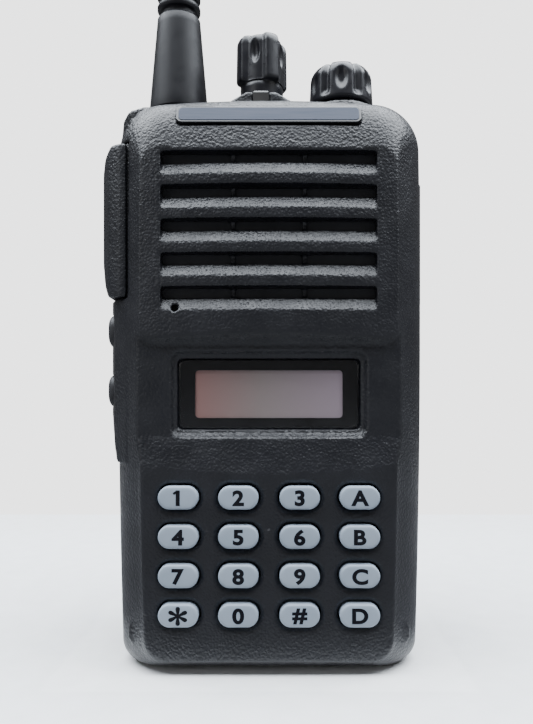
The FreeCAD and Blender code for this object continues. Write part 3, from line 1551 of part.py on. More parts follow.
CLIP_Y = f"{PACK_BACK} + clip_gap + 0.1"
PIN_Z = "clip_top - 8.0"
base_plate = block(
    "base_plate", ("-10.0", "10.0"), (PACK_BACK, f"{PACK_BACK} + 2.0"), ("clip_top - 25.0", "clip_top - 2.0")
)
ears = [
    block(
        f"ear_{n}", (x0, x1), (f"{PACK_BACK} + 1.8", f"{CLIP_Y} + 1.6"), (f"{PIN_Z} - 2.6", f"{PIN_Z} + 2.6")
    )
    for n, (x0, x1) in enumerate((("-10.4", "-8.4"), ("8.4", "10.4")))
]
lugs = [
    rod(f"lug_{n}", "1.1", "2.4", (x, f"{PACK_BACK} - 1.9", "clip_top - 21.0"), "y")
    for n, x in enumerate(("-7.0", "7.0"))
]
ear_bore = rod("ear_bore", "clip_pin_radius + running", "24.0", ("-12.0", CLIP_Y, PIN_Z), "x")
node("belt_clip_base", cut("belt_clip_base", fuse("clip_base_solid", base_plate, *ears, *lugs), ear_bore))
arm_line = polygon(
    "arm_line", "side", "-8.0",
    (
        (f"{CLIP_Y} - 0.9", "clip_top"),
        (f"{CLIP_Y} + 1.6", "clip_top - 0.8"),
        (f"{CLIP_Y} + 2.7", "clip_top - 4.5"),
        (f"{CLIP_Y} + 2.7", "clip_top - 11.0"),
        (f"{CLIP_Y} + 1.2", "clip_top - 22.0"),
        (f"{CLIP_Y} + 1.2", "clip_top - clip_length + 5.0"),
        (f"{CLIP_Y} + 3.2", "clip_top - clip_length"),
        (f"{CLIP_Y} + 1.6", "clip_top - clip_length - 0.4"),
        (f"{CLIP_Y} - 1.6", "clip_top - clip_length + 4.0"),
        (f"{CLIP_Y} - 2.6", "clip_top - clip_length + 8.0"),
        (f"{CLIP_Y} - clip_thick + 1.0", "clip_top - clip_length + 14.0"),
        (f"{CLIP_Y} - clip_thick + 1.0", "clip_top - 16.0"),
        (f"{CLIP_Y} - 1.9", "clip_top - 10.0"),
        (f"{CLIP_Y} - 1.9", "clip_top - 5.0"),
    ),
)
arm_face = rounded(
    "arm_face", "front", f"{CLIP_Y} + 6.0", "-8.0", "8.0",
    "clip_top - clip_length - 1.0", "clip_top + 1.0", "3.4",
)
arm_solid = common("arm_solid", push("arm_blade", arm_line, "16.0"), push("arm_column", arm_face, "12.0"))
arm_bore = rod("arm_bore", "clip_pin_radius + running", "24.0", ("-12.0", CLIP_Y, PIN_Z), "x")
spring_room = block(
    "spring_room", ("-3.4", "3.4"), (f"{CLIP_Y} - 3.0", f"{CLIP_Y} + 1.9"),
    (f"{PIN_Z} - 2.2", f"{PIN_Z} + 2.2"),
)
node("belt_clip_arm", cut("belt_clip_arm", arm_solid, arm_bore, spring_room))
node("clip_pin", rod("clip_pin", "clip_pin_radius", "20.8", ("-10.4", CLIP_Y, PIN_Z), "x"))
coil = cut(
    "coil",
    rod("coil_round", "clip_pin_radius + 0.6", "5.6", ("-2.8", CLIP_Y, PIN_Z), "x"),
    rod("coil_bore", "clip_pin_radius + 0.1", "8.0", ("-4.0", CLIP_Y, PIN_Z), "x"),
)
coil_leg = block(
    "coil_leg", ("-2.8", "-2.0"), (f"{PACK_BACK} + 2.0", f"{CLIP_Y} - clip_pin_radius - 0.2"),
    (f"{PIN_Z} - 0.5", f"{PIN_Z} + 0.3"),
)
node("clip_spring", fuse("clip_spring", coil, coil_leg))

# ---------------------------------------------------------------- check and write

doc.recompute()
for thing in doc.Objects:
    if "Invalid" in thing.State or "Error" in thing.State:
        raise RuntimeError(f"{thing.Name} did not build: {thing.State}")
for piece in NODES:
    if piece.Shape.isNull() or not piece.Shape.isValid():
        raise RuntimeError(f"{piece.Label} has no valid shape")
os.makedirs("parts", exist_ok=True)
for piece in NODES:
    piece.Shape.exportStep(f"parts/{piece.Label}.step")
print(len(NODES), "pieces written")
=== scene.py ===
# %% [markdown]
# # A handheld two-way radio
# The working parts already exist as a imported CAD model.  This lesson gives them their looks:
# grained charcoal mouldings, soft grey keys, fluted knobs, a rubber antenna and a glossy window.
# First the model is loaded, and the box of any of its parts can be read from it.

import math

import bmesh
import bpy
from mathutils import Matrix, Vector


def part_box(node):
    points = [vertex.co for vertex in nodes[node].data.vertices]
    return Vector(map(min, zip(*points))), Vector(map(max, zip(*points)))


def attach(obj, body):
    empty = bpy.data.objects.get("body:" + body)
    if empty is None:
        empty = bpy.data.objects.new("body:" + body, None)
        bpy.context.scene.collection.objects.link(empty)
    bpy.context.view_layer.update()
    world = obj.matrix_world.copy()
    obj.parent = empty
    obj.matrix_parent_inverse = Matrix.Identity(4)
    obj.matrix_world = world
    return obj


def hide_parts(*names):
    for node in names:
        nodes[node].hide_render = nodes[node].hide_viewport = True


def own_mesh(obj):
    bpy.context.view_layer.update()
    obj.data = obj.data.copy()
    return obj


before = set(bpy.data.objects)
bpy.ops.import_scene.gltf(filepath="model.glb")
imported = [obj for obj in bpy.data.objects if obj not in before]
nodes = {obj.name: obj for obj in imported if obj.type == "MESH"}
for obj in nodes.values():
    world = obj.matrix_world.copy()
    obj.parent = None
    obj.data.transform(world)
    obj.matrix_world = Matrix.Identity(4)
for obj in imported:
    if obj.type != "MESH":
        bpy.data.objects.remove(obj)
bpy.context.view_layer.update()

MM = 0.001


def millimetres(*values):
    """A point or a size given in millimetres, as metres."""
    return Vector(values) * MM


# %% [markdown]
# ## Finishes from nodes
# Every finish starts as one Principled shader.  Real mouldings are never one flat colour, so each
# finish adds two things on Object coordinates: a slow change of shade, and a relief that bends the
# light.  The relief of the case is leather grain: cells about half a millimetre across, made from
# smooth Voronoi cells that a noise pushes about, so that no two look alike.

# %% A plain start for every finish
def start_finish(name, colour, roughness, metallic=0.0, specular=0.5):
    """A new material, with its tree and its Principled shader."""
    finish = bpy.data.materials.new(name)
    finish.use_nodes = True
    tree = finish.node_tree
    shader = tree.nodes["Principled BSDF"]
    shader.inputs["Base Color"].default_value = (*colour, 1.0)
    shader.inputs["Roughness"].default_value = roughness
    shader.inputs["Metallic"].default_value = metallic
    shader.inputs["Specular IOR Level"].default_value = specular
    return finish, tree, shader


def object_place(tree, stretch=(1.0, 1.0, 1.0)):
    """Object coordinates through a Mapping node, so that a pattern can be stretched."""
    place = tree.nodes.new("ShaderNodeTexCoord")
    mapping = tree.nodes.new("ShaderNodeMapping")
    mapping.inputs["Scale"].default_value = stretch
    tree.links.new(place.outputs["Object"], mapping.inputs["Vector"])
    return mapping.outputs["Vector"]


def noise_at(tree, place, cell, detail=2.0, rough=0.5):
    """Noise whose features are about cell metres across."""
    cloud = tree.nodes.new("ShaderNodeTexNoise")
    cloud.inputs["Scale"].default_value = 1.0 / cell
    cloud.inputs["Detail"].default_value = detail
    cloud.inputs["Roughness"].default_value = rough
    tree.links.new(place, cloud.inputs["Vector"])
    return cloud.outputs["Fac"]


def ramp_between(tree, value, low, high, start=0.3, end=0.7):
    """A colour that goes from low to high as value goes from start to end."""
    ramp = tree.nodes.new("ShaderNodeValToRGB")
    ramp.color_ramp.elements[0].position = start
    ramp.color_ramp.elements[0].color = (*low, 1.0)
    ramp.color_ramp.elements[1].position = end
    ramp.color_ramp.elements[1].color = (*high, 1.0)
    tree.links.new(value, ramp.inputs["Fac"])
    return ramp.outputs["Color"]


def number_between(tree, value, low, high):
    """A number that goes from low to high as value goes from 0.3 to 0.7."""
    spread = tree.nodes.new("ShaderNodeMapRange")
    for name, number in (("From Min", 0.3), ("From Max", 0.7), ("To Min", low), ("To Max", high)):
        spread.inputs[name].default_value = number
    tree.links.new(value, spread.inputs["Value"])
    return spread.outputs["Result"]


# %% Relief: leather grain, fine grain and softened edges
def relief(tree, shader, height, depth, strength):
    """Bends the shader's normals by a height that is depth metres high."""
    bump = tree.nodes.new("ShaderNodeBump")
    bump.inputs["Strength"].default_value = strength
    bump.inputs["Distance"].default_value = depth
    tree.links.new(height, bump.inputs["Height"])
    tree.links.new(bump.outputs["Normal"], shader.inputs["Normal"])
    return bump.outputs["Normal"]


def leather_height(tree, cell):
    """Rounded cells that never repeat: noise pushes the places, then smooth Voronoi cells take them."""
    place = object_place(tree)
    push = tree.nodes.new("ShaderNodeTexNoise")
    push.inputs["Scale"].default_value = 0.7 / cell
    push.inputs["Detail"].default_value = 1.0
    shove = tree.nodes.new("ShaderNodeVectorMath")
    shove.operation = "MULTIPLY_ADD"
    shove.inputs[1].default_value = (cell * 0.9,) * 3
    tree.links.new(place, push.inputs["Vector"])
    tree.links.new(push.outputs["Color"], shove.inputs[0])
    tree.links.new(place, shove.inputs[2])
    cells = tree.nodes.new("ShaderNodeTexVoronoi")
    cells.feature = "SMOOTH_F1"
    cells.inputs["Scale"].default_value = 1.0 / cell
    cells.inputs["Smoothness"].default_value = 0.6
    tree.links.new(shove.outputs["Vector"], cells.inputs["Vector"])
    flip = tree.nodes.new("ShaderNodeMath")
    flip.operation = "SUBTRACT"
    flip.inputs[0].default_value = 1.0
    tree.links.new(cells.outputs["Distance"], flip.inputs[1])
    return flip.outputs["Value"]


def grained_plastic(name, dark, light, rough, cell, depth, strength, specular=0.5):
    """A moulded plastic: slow change of shade, patchy gloss and leather grain."""
    finish, tree, shader = start_finish(name, dark, rough[0], specular=specular)
    place = object_place(tree)
    patches = noise_at(tree, place, 0.009, detail=4.0)
    tree.links.new(ramp_between(tree, patches, dark, light), shader.inputs["Base Color"])
    rub = noise_at(tree, place, 0.004, detail=3.0)
    tree.links.new(number_between(tree, rub, rough[0], rough[1]), shader.inputs["Roughness"])
    relief(tree, shader, leather_height(tree, cell), depth, strength)
    return finish


def fine_plastic(name, dark, light, rough, cell=0.00025, depth=0.00001, strength=0.35, specular=0.5):
    """A smoother moulding: slow change of shade and a fine spark-eroded skin."""
    finish, tree, shader = start_finish(name, dark, rough[0], specular=specular)
    place = object_place(tree)
    patches = noise_at(tree, place, 0.006, detail=4.0)
    tree.links.new(ramp_between(tree, patches, dark, light), shader.inputs["Base Color"])
    rub = noise_at(tree, place, 0.002, detail=3.0)
    tree.links.new(number_between(tree, rub, rough[0], rough[1]), shader.inputs["Roughness"])
    relief(tree, shader, noise_at(tree, place, cell, detail=2.0), depth, strength)
    return finish


def brushed_metal(name, dark, light, rough, along=(1.0, 1.0, 0.08), cell=0.0004):
    """A metal with fine lines: noise stretched along one axis."""
    finish, tree, shader = start_finish(name, dark, rough[0], metallic=1.0)
    place = object_place(tree, along)
    lines = noise_at(tree, place, cell, detail=3.0)
    tree.links.new(ramp_between(tree, lines, dark, light), shader.inputs["Base Color"])
    tree.links.new(number_between(tree, lines, rough[0], rough[1]), shader.inputs["Roughness"])
    relief(tree, shader, lines, 0.000008, 0.25)
    return finish


# %% The finishes of this radio
CASE_DARK, CASE_LIGHT = (0.0055, 0.0058, 0.0080), (0.0095, 0.0098, 0.0130)
case_grain = grained_plastic(
    "case grain", CASE_DARK, CASE_LIGHT, (0.34, 0.46), 0.00050, 0.00011, 0.9, specular=0.46,
)
bar_grain = grained_plastic(
    "bar grain", CASE_DARK, CASE_LIGHT, (0.36, 0.48), 0.00050, 0.00011, 0.9, specular=0.42,
)
pack_grain = grained_plastic(
    "pack grain", (0.009, 0.009, 0.011), (0.014, 0.014, 0.016), (0.42, 0.56), 0.0005, 0.00008, 0.7,
)
knob_skin = fine_plastic(
    "knob skin", (0.006, 0.006, 0.009), (0.010, 0.010, 0.013), (0.26, 0.38), specular=0.4,
)
antenna_skin = fine_plastic(
    "antenna skin", (0.003, 0.003, 0.005), (0.006, 0.006, 0.008), (0.40, 0.52), cell=0.0004, depth=0.00002,
    specular=0.24,
)
soft_skin = fine_plastic(
    "soft black rubber", (0.010, 0.010, 0.012), (0.016, 0.016, 0.019), (0.5, 0.65), cell=0.0003,
    depth=0.00002,
)
clip_skin = fine_plastic("clip skin", (0.010, 0.010, 0.012), (0.016, 0.016, 0.019), (0.34, 0.46))
gloss_black = fine_plastic(
    "gloss black", (0.004, 0.004, 0.005), (0.007, 0.007, 0.008), (0.10, 0.18), cell=0.002, depth=0.000004,
)
key_skin = fine_plastic(
    "grey key rubber", (0.29, 0.345, 0.41), (0.33, 0.385, 0.45), (0.42, 0.55), cell=0.0003, depth=0.00001,
)
sign_ink = fine_plastic("sign ink", (0.004, 0.004, 0.007), (0.008, 0.008, 0.011), (0.7, 0.8), specular=0.12)
frame_white = fine_plastic("frame white", (0.62, 0.62, 0.60), (0.70, 0.70, 0.68), (0.45, 0.6))
black_paper = fine_plastic(
    "black paper", (0.002, 0.002, 0.0025), (0.004, 0.004, 0.005), (0.85, 0.95), specular=0.1,
)
dark_iron = fine_plastic("dark iron", (0.010, 0.010, 0.011), (0.022, 0.022, 0.024), (0.45, 0.6))
board_green = fine_plastic(
    "board green", (0.006, 0.055, 0.024), (0.012, 0.085, 0.038), (0.3, 0.45), cell=0.0015,
)
cell_foil = fine_plastic("cell wrap", (0.02, 0.05, 0.16), (0.03, 0.07, 0.21), (0.3, 0.42), cell=0.002)
nickel = brushed_metal("bright nickel", (0.58, 0.57, 0.54), (0.72, 0.71, 0.68), (0.16, 0.28))
steel = brushed_metal("brushed steel", (0.45, 0.45, 0.46), (0.60, 0.60, 0.61), (0.28, 0.42))
brass = brushed_metal("brass", (0.62, 0.45, 0.20), (0.74, 0.56, 0.28), (0.2, 0.34))
gold = brushed_metal("gold plating", (0.80, 0.58, 0.24), (0.88, 0.68, 0.34), (0.18, 0.3))
plate_silver = brushed_metal(
    "silver name plate", (0.030, 0.034, 0.044), (0.046, 0.050, 0.062), (0.40, 0.5), along=(0.05, 1.0, 1.0),
)
cast_metal = brushed_metal(
    "cast chassis", (0.50, 0.51, 0.52), (0.62, 0.63, 0.64), (0.4, 0.55), along=(1.0, 1.0, 1.0), cell=0.0012,
)
print("finishes made:", len(bpy.data.materials))

# %% [markdown]
# ## Clear and tinted finishes
# The window is a thin clear plate, so its shader is a mix: see through it, or reflect, as Fresnel's
# law says.  The display behind it has no words on it: it only fades from a warm grey to a cool one,
# as a liquid crystal does at an angle.  The lamp is smoked plastic.

# %% Window, display and lamp
def clear_window():
    """A see-through finish with a glossy surface."""
    finish = bpy.data.materials.new("window clear")
    finish.use_nodes = True
    tree = finish.node_tree
    tree.nodes.remove(tree.nodes["Principled BSDF"])
    through = tree.nodes.new("ShaderNodeBsdfTransparent")
    through.inputs["Color"].default_value = (0.90, 0.90, 0.91, 1.0)
    gloss = tree.nodes.new("ShaderNodeBsdfGlossy")
    bend = tree.nodes.new("ShaderNodeFresnel")
    bend.inputs["IOR"].default_value = 1.5
    side = tree.nodes.new("ShaderNodeNewGeometry")
    outside = tree.nodes.new("ShaderNodeMath")
    outside.operation = "SUBTRACT"
    outside.inputs[0].default_value = 1.0
    tree.links.new(side.outputs["Backfacing"], outside.inputs[1])
    share = tree.nodes.new("ShaderNodeMath")
    share.operation = "MULTIPLY"
    tree.links.new(bend.outputs["Fac"], share.inputs[0])
    tree.links.new(outside.outputs["Value"], share.inputs[1])
    mix = tree.nodes.new("ShaderNodeMixShader")
    smear = noise_at(tree, object_place(tree, (1.0, 1.0, 0.35)), 0.006, detail=3.0)
    tree.links.new(number_between(tree, smear, 0.08, 0.2), gloss.inputs["Roughness"])
    tree.links.new(share.outputs["Value"], mix.inputs["Fac"])
    tree.links.new(through.outputs["BSDF"], mix.inputs[1])
    tree.links.new(gloss.outputs["BSDF"], mix.inputs[2])
    tree.links.new(mix.outputs["Shader"], tree.nodes["Material Output"].inputs["Surface"])
    return finish


def fading_display():
    """Warm grey on the left, cool grey on the right, with a faint cloud."""
    finish, tree, shader = start_finish("display grey", (0.2, 0.17, 0.17), 0.35)
    place = object_place(tree)
    split = tree.nodes.new("ShaderNodeSeparateXYZ")
    tree.links.new(place, split.inputs["Vector"])
    across = tree.nodes.new("ShaderNodeMapRange")
    across.inputs["From Min"].default_value = -0.0145
    across.inputs["From Max"].default_value = 0.0145
    tree.links.new(split.outputs["X"], across.inputs["Value"])
    ramp = tree.nodes.new("ShaderNodeValToRGB")
    ramp.color_ramp.elements[0].color = (0.42, 0.225, 0.195, 1.0)
    ramp.color_ramp.elements[1].color = (0.46, 0.37, 0.41, 1.0)
    middle = ramp.color_ramp.elements.new(0.45)
    middle.color = (0.39, 0.325, 0.30, 1.0)
    tree.links.new(across.outputs["Result"], ramp.inputs["Fac"])
    tree.links.new(ramp.outputs["Color"], shader.inputs["Base Color"])
    relief(tree, shader, noise_at(tree, place, 0.001), 0.000003, 0.2)
    return finish


window_clear = clear_window()
display_grey = fading_display()
smoked_lamp = fine_plastic(
    "smoked lamp", (0.035, 0.034, 0.034), (0.06, 0.058, 0.056), (0.08, 0.16), cell=0.001,
)

# %% [markdown]
# ## From a bmesh to a piece
# Every new piece is a bmesh first.  One function turns it into an object, shades it smooth except
# where an edge is sharper than a limit, and ties it to the body that it moves with.  A CAD node that
# keeps its own shape only gets a finish.

# %% Turning a bmesh or a node into a finished piece
def add_piece(name, bm, body, finish, sharp, replaces=(), outward=True):
    """Makes the object of a finished bmesh, shades it, and lets it ride on its body."""
    if outward:
        bmesh.ops.recalc_face_normals(bm, faces=bm.faces)
    mesh = bpy.data.meshes.new(name)
    bm.to_mesh(mesh)
    bm.free()
    mesh.shade_smooth()
    mesh.set_sharp_from_angle(angle=math.radians(sharp))
    mesh.materials.append(finish)
    piece = bpy.data.objects.new(name, mesh)
    bpy.context.scene.collection.objects.link(piece)
    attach(piece, body)
    if replaces:
        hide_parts(*replaces)
    return piece


def repaint(node, finish):
    """Gives a CAD node, kept as it is, a finish."""
    mesh = nodes[node].data
    mesh.materials.clear()
    mesh.materials.append(finish)


# %% [markdown]
# ## Rounding a CAD shape
# The case, the battery and the clip already have the right shape, but their CAD edges are knife
# sharp and their slender triangles shade badly.  A real moulding has small radii everywhere.  A
# voxel Remesh rebuilds the skin as small even squares, a Smooth rubs its edges round, and a Decimate
# takes away the faces that flat areas don't need.

# %% Copies with rubbed edges
def rounded_over(node, body, finish, cell, rounds, keep=1.0):
    """A copy of a CAD node made of even squares of cell millimetres, with its edges rubbed round."""
    bm = bmesh.new()
    bm.from_mesh(nodes[node].data)
    bmesh.ops.remove_doubles(bm, verts=bm.verts, dist=0.002 * MM)
    piece = add_piece(node + "_skin", bm, body, finish, 180.0, (node,), outward=False)
    rebuild = piece.modifiers.new("even squares", "REMESH")
    rebuild.mode = "VOXEL"
    rebuild.voxel_size = cell * MM
    rebuild.use_smooth_shade = True
    rub = piece.modifiers.new("rubbed edges", "SMOOTH")
    rub.iterations = rounds
    if keep < 1.0:
        thin = piece.modifiers.new("fewer faces", "DECIMATE")
        thin.ratio = keep
    return piece


rounded_over("front_case", "radio", case_grain, 0.30, 2, keep=0.27)
rounded_over("battery_tray", "radio", pack_grain, 0.38, 2, keep=0.5)
rounded_over("battery_cover", "radio", pack_grain, 0.38, 2, keep=0.5)
rounded_over("belt_clip_base", "radio", clip_skin, 0.25, 2)
rounded_over("belt_clip_arm", "clip", clip_skin, 0.30, 4)
rounded_over("battery_latch", "latch", clip_skin, 0.25, 2)
rounded_over("jack_cover", "side_flap", soft_skin, 0.22, 3)
rounded_over("ptt_button", "ptt", bar_grain, 0.34, 16)
print("pieces rounded over: 8")

# %% [markdown]
# ## Keys and side keys
# Each key is one soft cap with a round-ended outline.  It starts as a circle whose halves are pulled
# apart, is drawn out towards the front, and its face is inset in small steps that each rise a
# little less, so that the rim rolls over into a slight crown.  The two side keys are made the same
# way with deeper steps, which makes them domed.

# %% Cushion-shaped caps
def cushion(wide, tall, height, steps):
    """A round-ended pad along X, from Z = 0 up, whose rim rolls over in (inset, rise) steps."""
    bm = bmesh.new()
    bmesh.ops.create_circle(bm, cap_ends=True, segments=40, radius=tall / 2 * MM)
    turn = Matrix.Rotation(math.radians(4.5), 3, "Z")
    bmesh.ops.rotate(bm, cent=(0, 0, 0), matrix=turn, verts=bm.verts)
    for corner in bm.verts:
        corner.co.x += math.copysign((wide - tall) / 2 * MM, corner.co.x)
    grown = bmesh.ops.extrude_face_region(bm, geom=list(bm.faces))
    corners = [part for part in grown["geom"] if isinstance(part, bmesh.types.BMVert)]
    bmesh.ops.translate(bm, vec=(0, 0, (height - sum(rise for _, rise in steps)) * MM), verts=corners)
    face = [part for part in grown["geom"] if isinstance(part, bmesh.types.BMFace)]
    for inset, rise in steps:
        bmesh.ops.inset_region(bm, faces=face, thickness=inset * MM, depth=0.0)
        moved = {corner for part in face for corner in part.verts}
        bmesh.ops.translate(bm, vec=(0, 0, rise * MM), verts=list(moved))
    return bm


def stand(bm, turn, axis, place):
    """Turns a finished shape by turn degrees about an axis, then puts it at its place in metres."""
    turned = Matrix.Rotation(math.radians(turn), 3, axis)
    bmesh.ops.rotate(bm, cent=(0, 0, 0), matrix=turned, verts=bm.verts)
    bmesh.ops.translate(bm, vec=place, verts=bm.verts)


KEY_WIDE, KEY_TALL, KEY_DEEP = 7.3, 4.2, 3.9
KEY_STEPS = ((0.04, 0.10), (0.07, 0.08), (0.11, 0.06), (0.18, 0.04), (0.45, 0.02))


def key_cap(node):
    """One key of the pad."""
    low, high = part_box(node)
    bm = cushion(KEY_WIDE, KEY_TALL, KEY_DEEP, KEY_STEPS)
    stand(bm, 90, "X", ((low.x + high.x) / 2, low.y + KEY_DEEP * MM, (low.z + high.z) / 2))
    return add_piece(node + "_cap", bm, node + "_body", key_skin, 50.0, (node,))


SIDE_WIDE, SIDE_TALL, SIDE_DEEP = 6.5, 5.6, 3.6
SIDE_STEPS = ((0.06, 0.30), (0.14, 0.30), (0.26, 0.26), (0.40, 0.20), (0.50, 0.12), (0.50, 0.06))


def side_key(node, body):
    """A domed key on the left side, its long way upright."""
    low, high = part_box(node)
    bm = cushion(SIDE_WIDE, SIDE_TALL, SIDE_DEEP, SIDE_STEPS)
    for degrees, axis in ((90, "Z"), (-90, "Y"), (90, "X")):
        turn = Matrix.Rotation(math.radians(degrees), 3, axis)
        bmesh.ops.rotate(bm, cent=(0, 0, 0), matrix=turn, verts=bm.verts)
    middle = (low + high) / 2
    bmesh.ops.translate(bm, vec=(low.x + SIDE_DEEP * MM, middle.y, middle.z), verts=bm.verts)
    return add_piece(node + "_dome", bm, body, soft_skin, 60.0, (node,))


# %% [markdown]
# ## Signs on the keys
# The signs are printed.  Each is a text whose outline is thickened by a bevel, made into a mesh, and
# then flattened until it is as thin as ink and stands a hair proud of its cap.

# %% Printed signs
KEY_SIGNS = {
    "key_1": "1", "key_2": "2", "key_3": "3", "key_a": "A",
    "key_4": "4", "key_5": "5", "key_6": "6", "key_b": "B",
    "key_7": "7", "key_8": "8", "key_9": "9", "key_c": "C",
    "key_star": "*", "key_0": "0", "key_hash": "#", "key_d": "D",
}


def stroke(bm, middle, wide, tall, thick, turn):
    """A short straight bar added to a sign, in millimetres and degrees."""
    corners = bmesh.ops.create_cube(bm, size=1.0)["verts"]
    bmesh.ops.scale(bm, vec=(wide * MM, tall * MM, thick * MM), verts=corners)
    turned = Matrix.Rotation(math.radians(turn), 3, "Z")
    bmesh.ops.rotate(bm, cent=(0, 0, 0), matrix=turned, verts=corners)
    bmesh.ops.translate(bm, vec=(middle[0] * MM, middle[1] * MM, 0), verts=corners)


def key_sign(node, text):
    """The printed sign of a key."""
    low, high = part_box(node)
    curve = bpy.data.curves.new(node + "_sign", "FONT")
    curve.body = text
    curve.size = 3.7 * MM
    curve.extrude = 0.05 * MM
    curve.bevel_depth = (0.07 if text == "*" else 0.15) * MM
    curve.bevel_resolution = 1
    sign = bpy.data.objects.new(node + "_sign", curve)
    bpy.context.scene.collection.objects.link(sign)
    bpy.context.view_layer.update()
    mesh = bpy.data.meshes.new_from_object(sign.evaluated_get(bpy.context.evaluated_depsgraph_get()))
    bpy.data.objects.remove(sign)
    bm = bmesh.new()
    bm.from_mesh(mesh)
    bmesh.ops.remove_doubles(bm, verts=bm.verts, dist=0.0005 * MM)
    left, right = min(corner.co.x for corner in bm.verts), max(corner.co.x for corner in bm.verts)
    foot, head = min(corner.co.y for corner in bm.verts), max(corner.co.y for corner in bm.verts)
    bmesh.ops.translate(bm, vec=(-(left + right) / 2, -(foot + head) / 2, 0), verts=bm.verts)
    bigger = 1.9 if text == "*" else 1.0
    bmesh.ops.scale(bm, vec=(1.12 * bigger, bigger, 0.12), verts=bm.verts)
    if text == "1":
        tip = (head - foot) / 2 / MM
        stroke(bm, (-0.45, tip - 0.42), 0.85, 0.42, 0.048, 35.0)
    stand(bm, 90, "X", ((low.x + high.x) / 2, low.y, (low.z + high.z) / 2))
    return add_piece(node + "_sign", bm, node + "_body", sign_ink, 30.0)


for node, text in KEY_SIGNS.items():
    key_cap(node)
    key_sign(node, text)
print("keys made:", len(KEY_SIGNS))

# %% [markdown]
# ## The side keys and the seam of the push-to-talk bar
# The bar sinks into the case when it is pressed; the soft lip beside it stays fixed to the case.

# %% Side keys and seam
def bar_lip():
    """The rubber seam between the case and the bar."""
    low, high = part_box("ptt_button")
    bm = bmesh.new()
    bmesh.ops.create_cube(bm, size=1.0)
    bmesh.ops.scale(bm, vec=(1.0 * MM, 5.0 * MM, high.z - low.z + 0.2 * MM), verts=bm.verts)
    bmesh.ops.bevel(
        bm, geom=list(bm.edges), offset=0.3 * MM, segments=3, profile=0.5, affect="EDGES", material=-1,
    )
    place = (high.x + 0.3 * MM, low.y + 3.3 * MM, (low.z + high.z) / 2)
    bmesh.ops.translate(bm, vec=place, verts=bm.verts)
    lip = add_piece("ptt_seam", bm, "radio", bar_grain, 60.0)
    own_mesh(lip)
    return lip


bar_lip()
side_key("side_key_upper", "side_upper")
side_key("side_key_lower", "side_lower")
print("side keys made: 2, and the seam of the bar")

# %% [markdown]
# ## Turned pieces
# The knobs and the antenna are round, so each starts as half of its outline, spun once round its
# axis.  The flutes of the knobs are then pressed in: a point's distance from the axis changes with
# its angle, and shallow ovals are pressed in where a fingertip rests.

# %% Spinning an outline
def spun(outline, steps):
    """A bmesh turned from (radius, height) pairs in millimetres, about the Z axis."""
    bm = bmesh.new()
    rim = [bm.verts.new((radius * MM, 0, height * MM)) for radius, height in outline]
    edges = [bm.edges.new(pair) for pair in zip(rim, rim[1:])]
    bmesh.ops.spin(
        bm, geom=rim + edges, cent=(0, 0, 0), axis=(0, 0, 1), angle=math.tau, steps=steps, use_merge=True,
    )
    bmesh.ops.remove_doubles(bm, verts=bm.verts, dist=0.001 * MM)
    return bm


def wall(radius_low, radius_high, low, high, steps):
    """Outline points up a straight wall, close enough together to take a flute."""
    return [
        (radius_low + (radius_high - radius_low) * n / steps, low + (high - low) * n / steps)
        for n in range(steps + 1)
    ]


def smooth_step(value):
    """Goes from 0 to 1 with no corner at either end."""
    value = max(0.0, min(1.0, value))
    return value * value * (3.0 - 2.0 * value)


# %% Fluted knobs
TOP_ROW = -3.0 * MM


def flute(bm, count, first, groove, foot, dent):
    """Presses count grooves into a turned knob, the first at an angle, and count oval dents.

    groove is (depth, where its flank starts, where it ends), from 0 at a groove to 1 half way to the
    next.  foot is the heights between which the grooves grow.  dent is (depth, where it is from 0 to
    1, half width, middle height, half height).  Lengths are in millimetres.
    """
    deep, near, far = groove
    dent_deep, dent_at, dent_wide, dent_high, dent_tall = dent
    for corner in bm.verts:
        radius, height = corner.co.xy.length / MM, corner.co.z / MM
        if radius < 0.5:
            continue
        part = ((math.atan2(corner.co.y, corner.co.x) - math.radians(first)) * count / math.tau) % 1.0
        along = min(part, 1.0 - part) * 2.0
        reach = smooth_step((radius - 2.2) / 1.6)
        press = 1.0 - smooth_step((along - near) / (far - near))
        press *= deep * smooth_step((height - foot[0]) / (foot[1] - foot[0]))
        across = (along - dent_at) * math.pi * radius / count / dent_wide
        up = (height - dent_high) / dent_tall
        press += dent_deep * smooth_step(1.0 - across * across - up * up)
        scale = 1.0 - press * reach / radius
        corner.co.x *= scale
        corner.co.y *= scale


def knob(node, body, outline, **pressed):
    """A fluted knob that stands where its CAD node stands."""
    low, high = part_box(node)
    bm = spun(outline, 144)
    flute(bm, **pressed)
    bmesh.ops.translate(bm, vec=((low.x + high.x) / 2, TOP_ROW, low.z), verts=bm.verts)
    return add_piece(node + "_turned", bm, body, knob_skin, 50.0, (node,))


CHANNEL_OUTLINE = (
    [(0.0, 0.0), (3.9, 0.0), (4.15, 0.25)] + wall(4.2, 4.4, 0.6, 4.3, 8)
    + [(4.6, 4.45), (5.05, 4.6), (5.25, 4.85)] + wall(5.3, 5.2, 5.2, 12.3, 22)
    + [(5.1, 12.9), (4.85, 13.45), (4.45, 13.85), (3.9, 14.1), (3.2, 14.2), (2.2, 14.2), (0.0, 14.15)]
)
VOLUME_OUTLINE = (
    [(0.0, 0.0), (5.9, 0.0), (6.3, 0.2)] + wall(6.5, 6.25, 0.6, 5.6, 16)
    + [(6.1, 6.2), (5.8, 6.8), (5.35, 7.35), (4.75, 7.8), (4.0, 8.08), (3.2, 8.2), (2.2, 8.2), (0.0, 8.1)]
)
knob(
    "channel_knob", "channel", CHANNEL_OUTLINE, count=4, first=-108.0, groove=(0.95, 0.42, 0.72),
    foot=(4.0, 4.9), dent=(0.75, 0.0, 1.3, 10.4, 2.6),
)
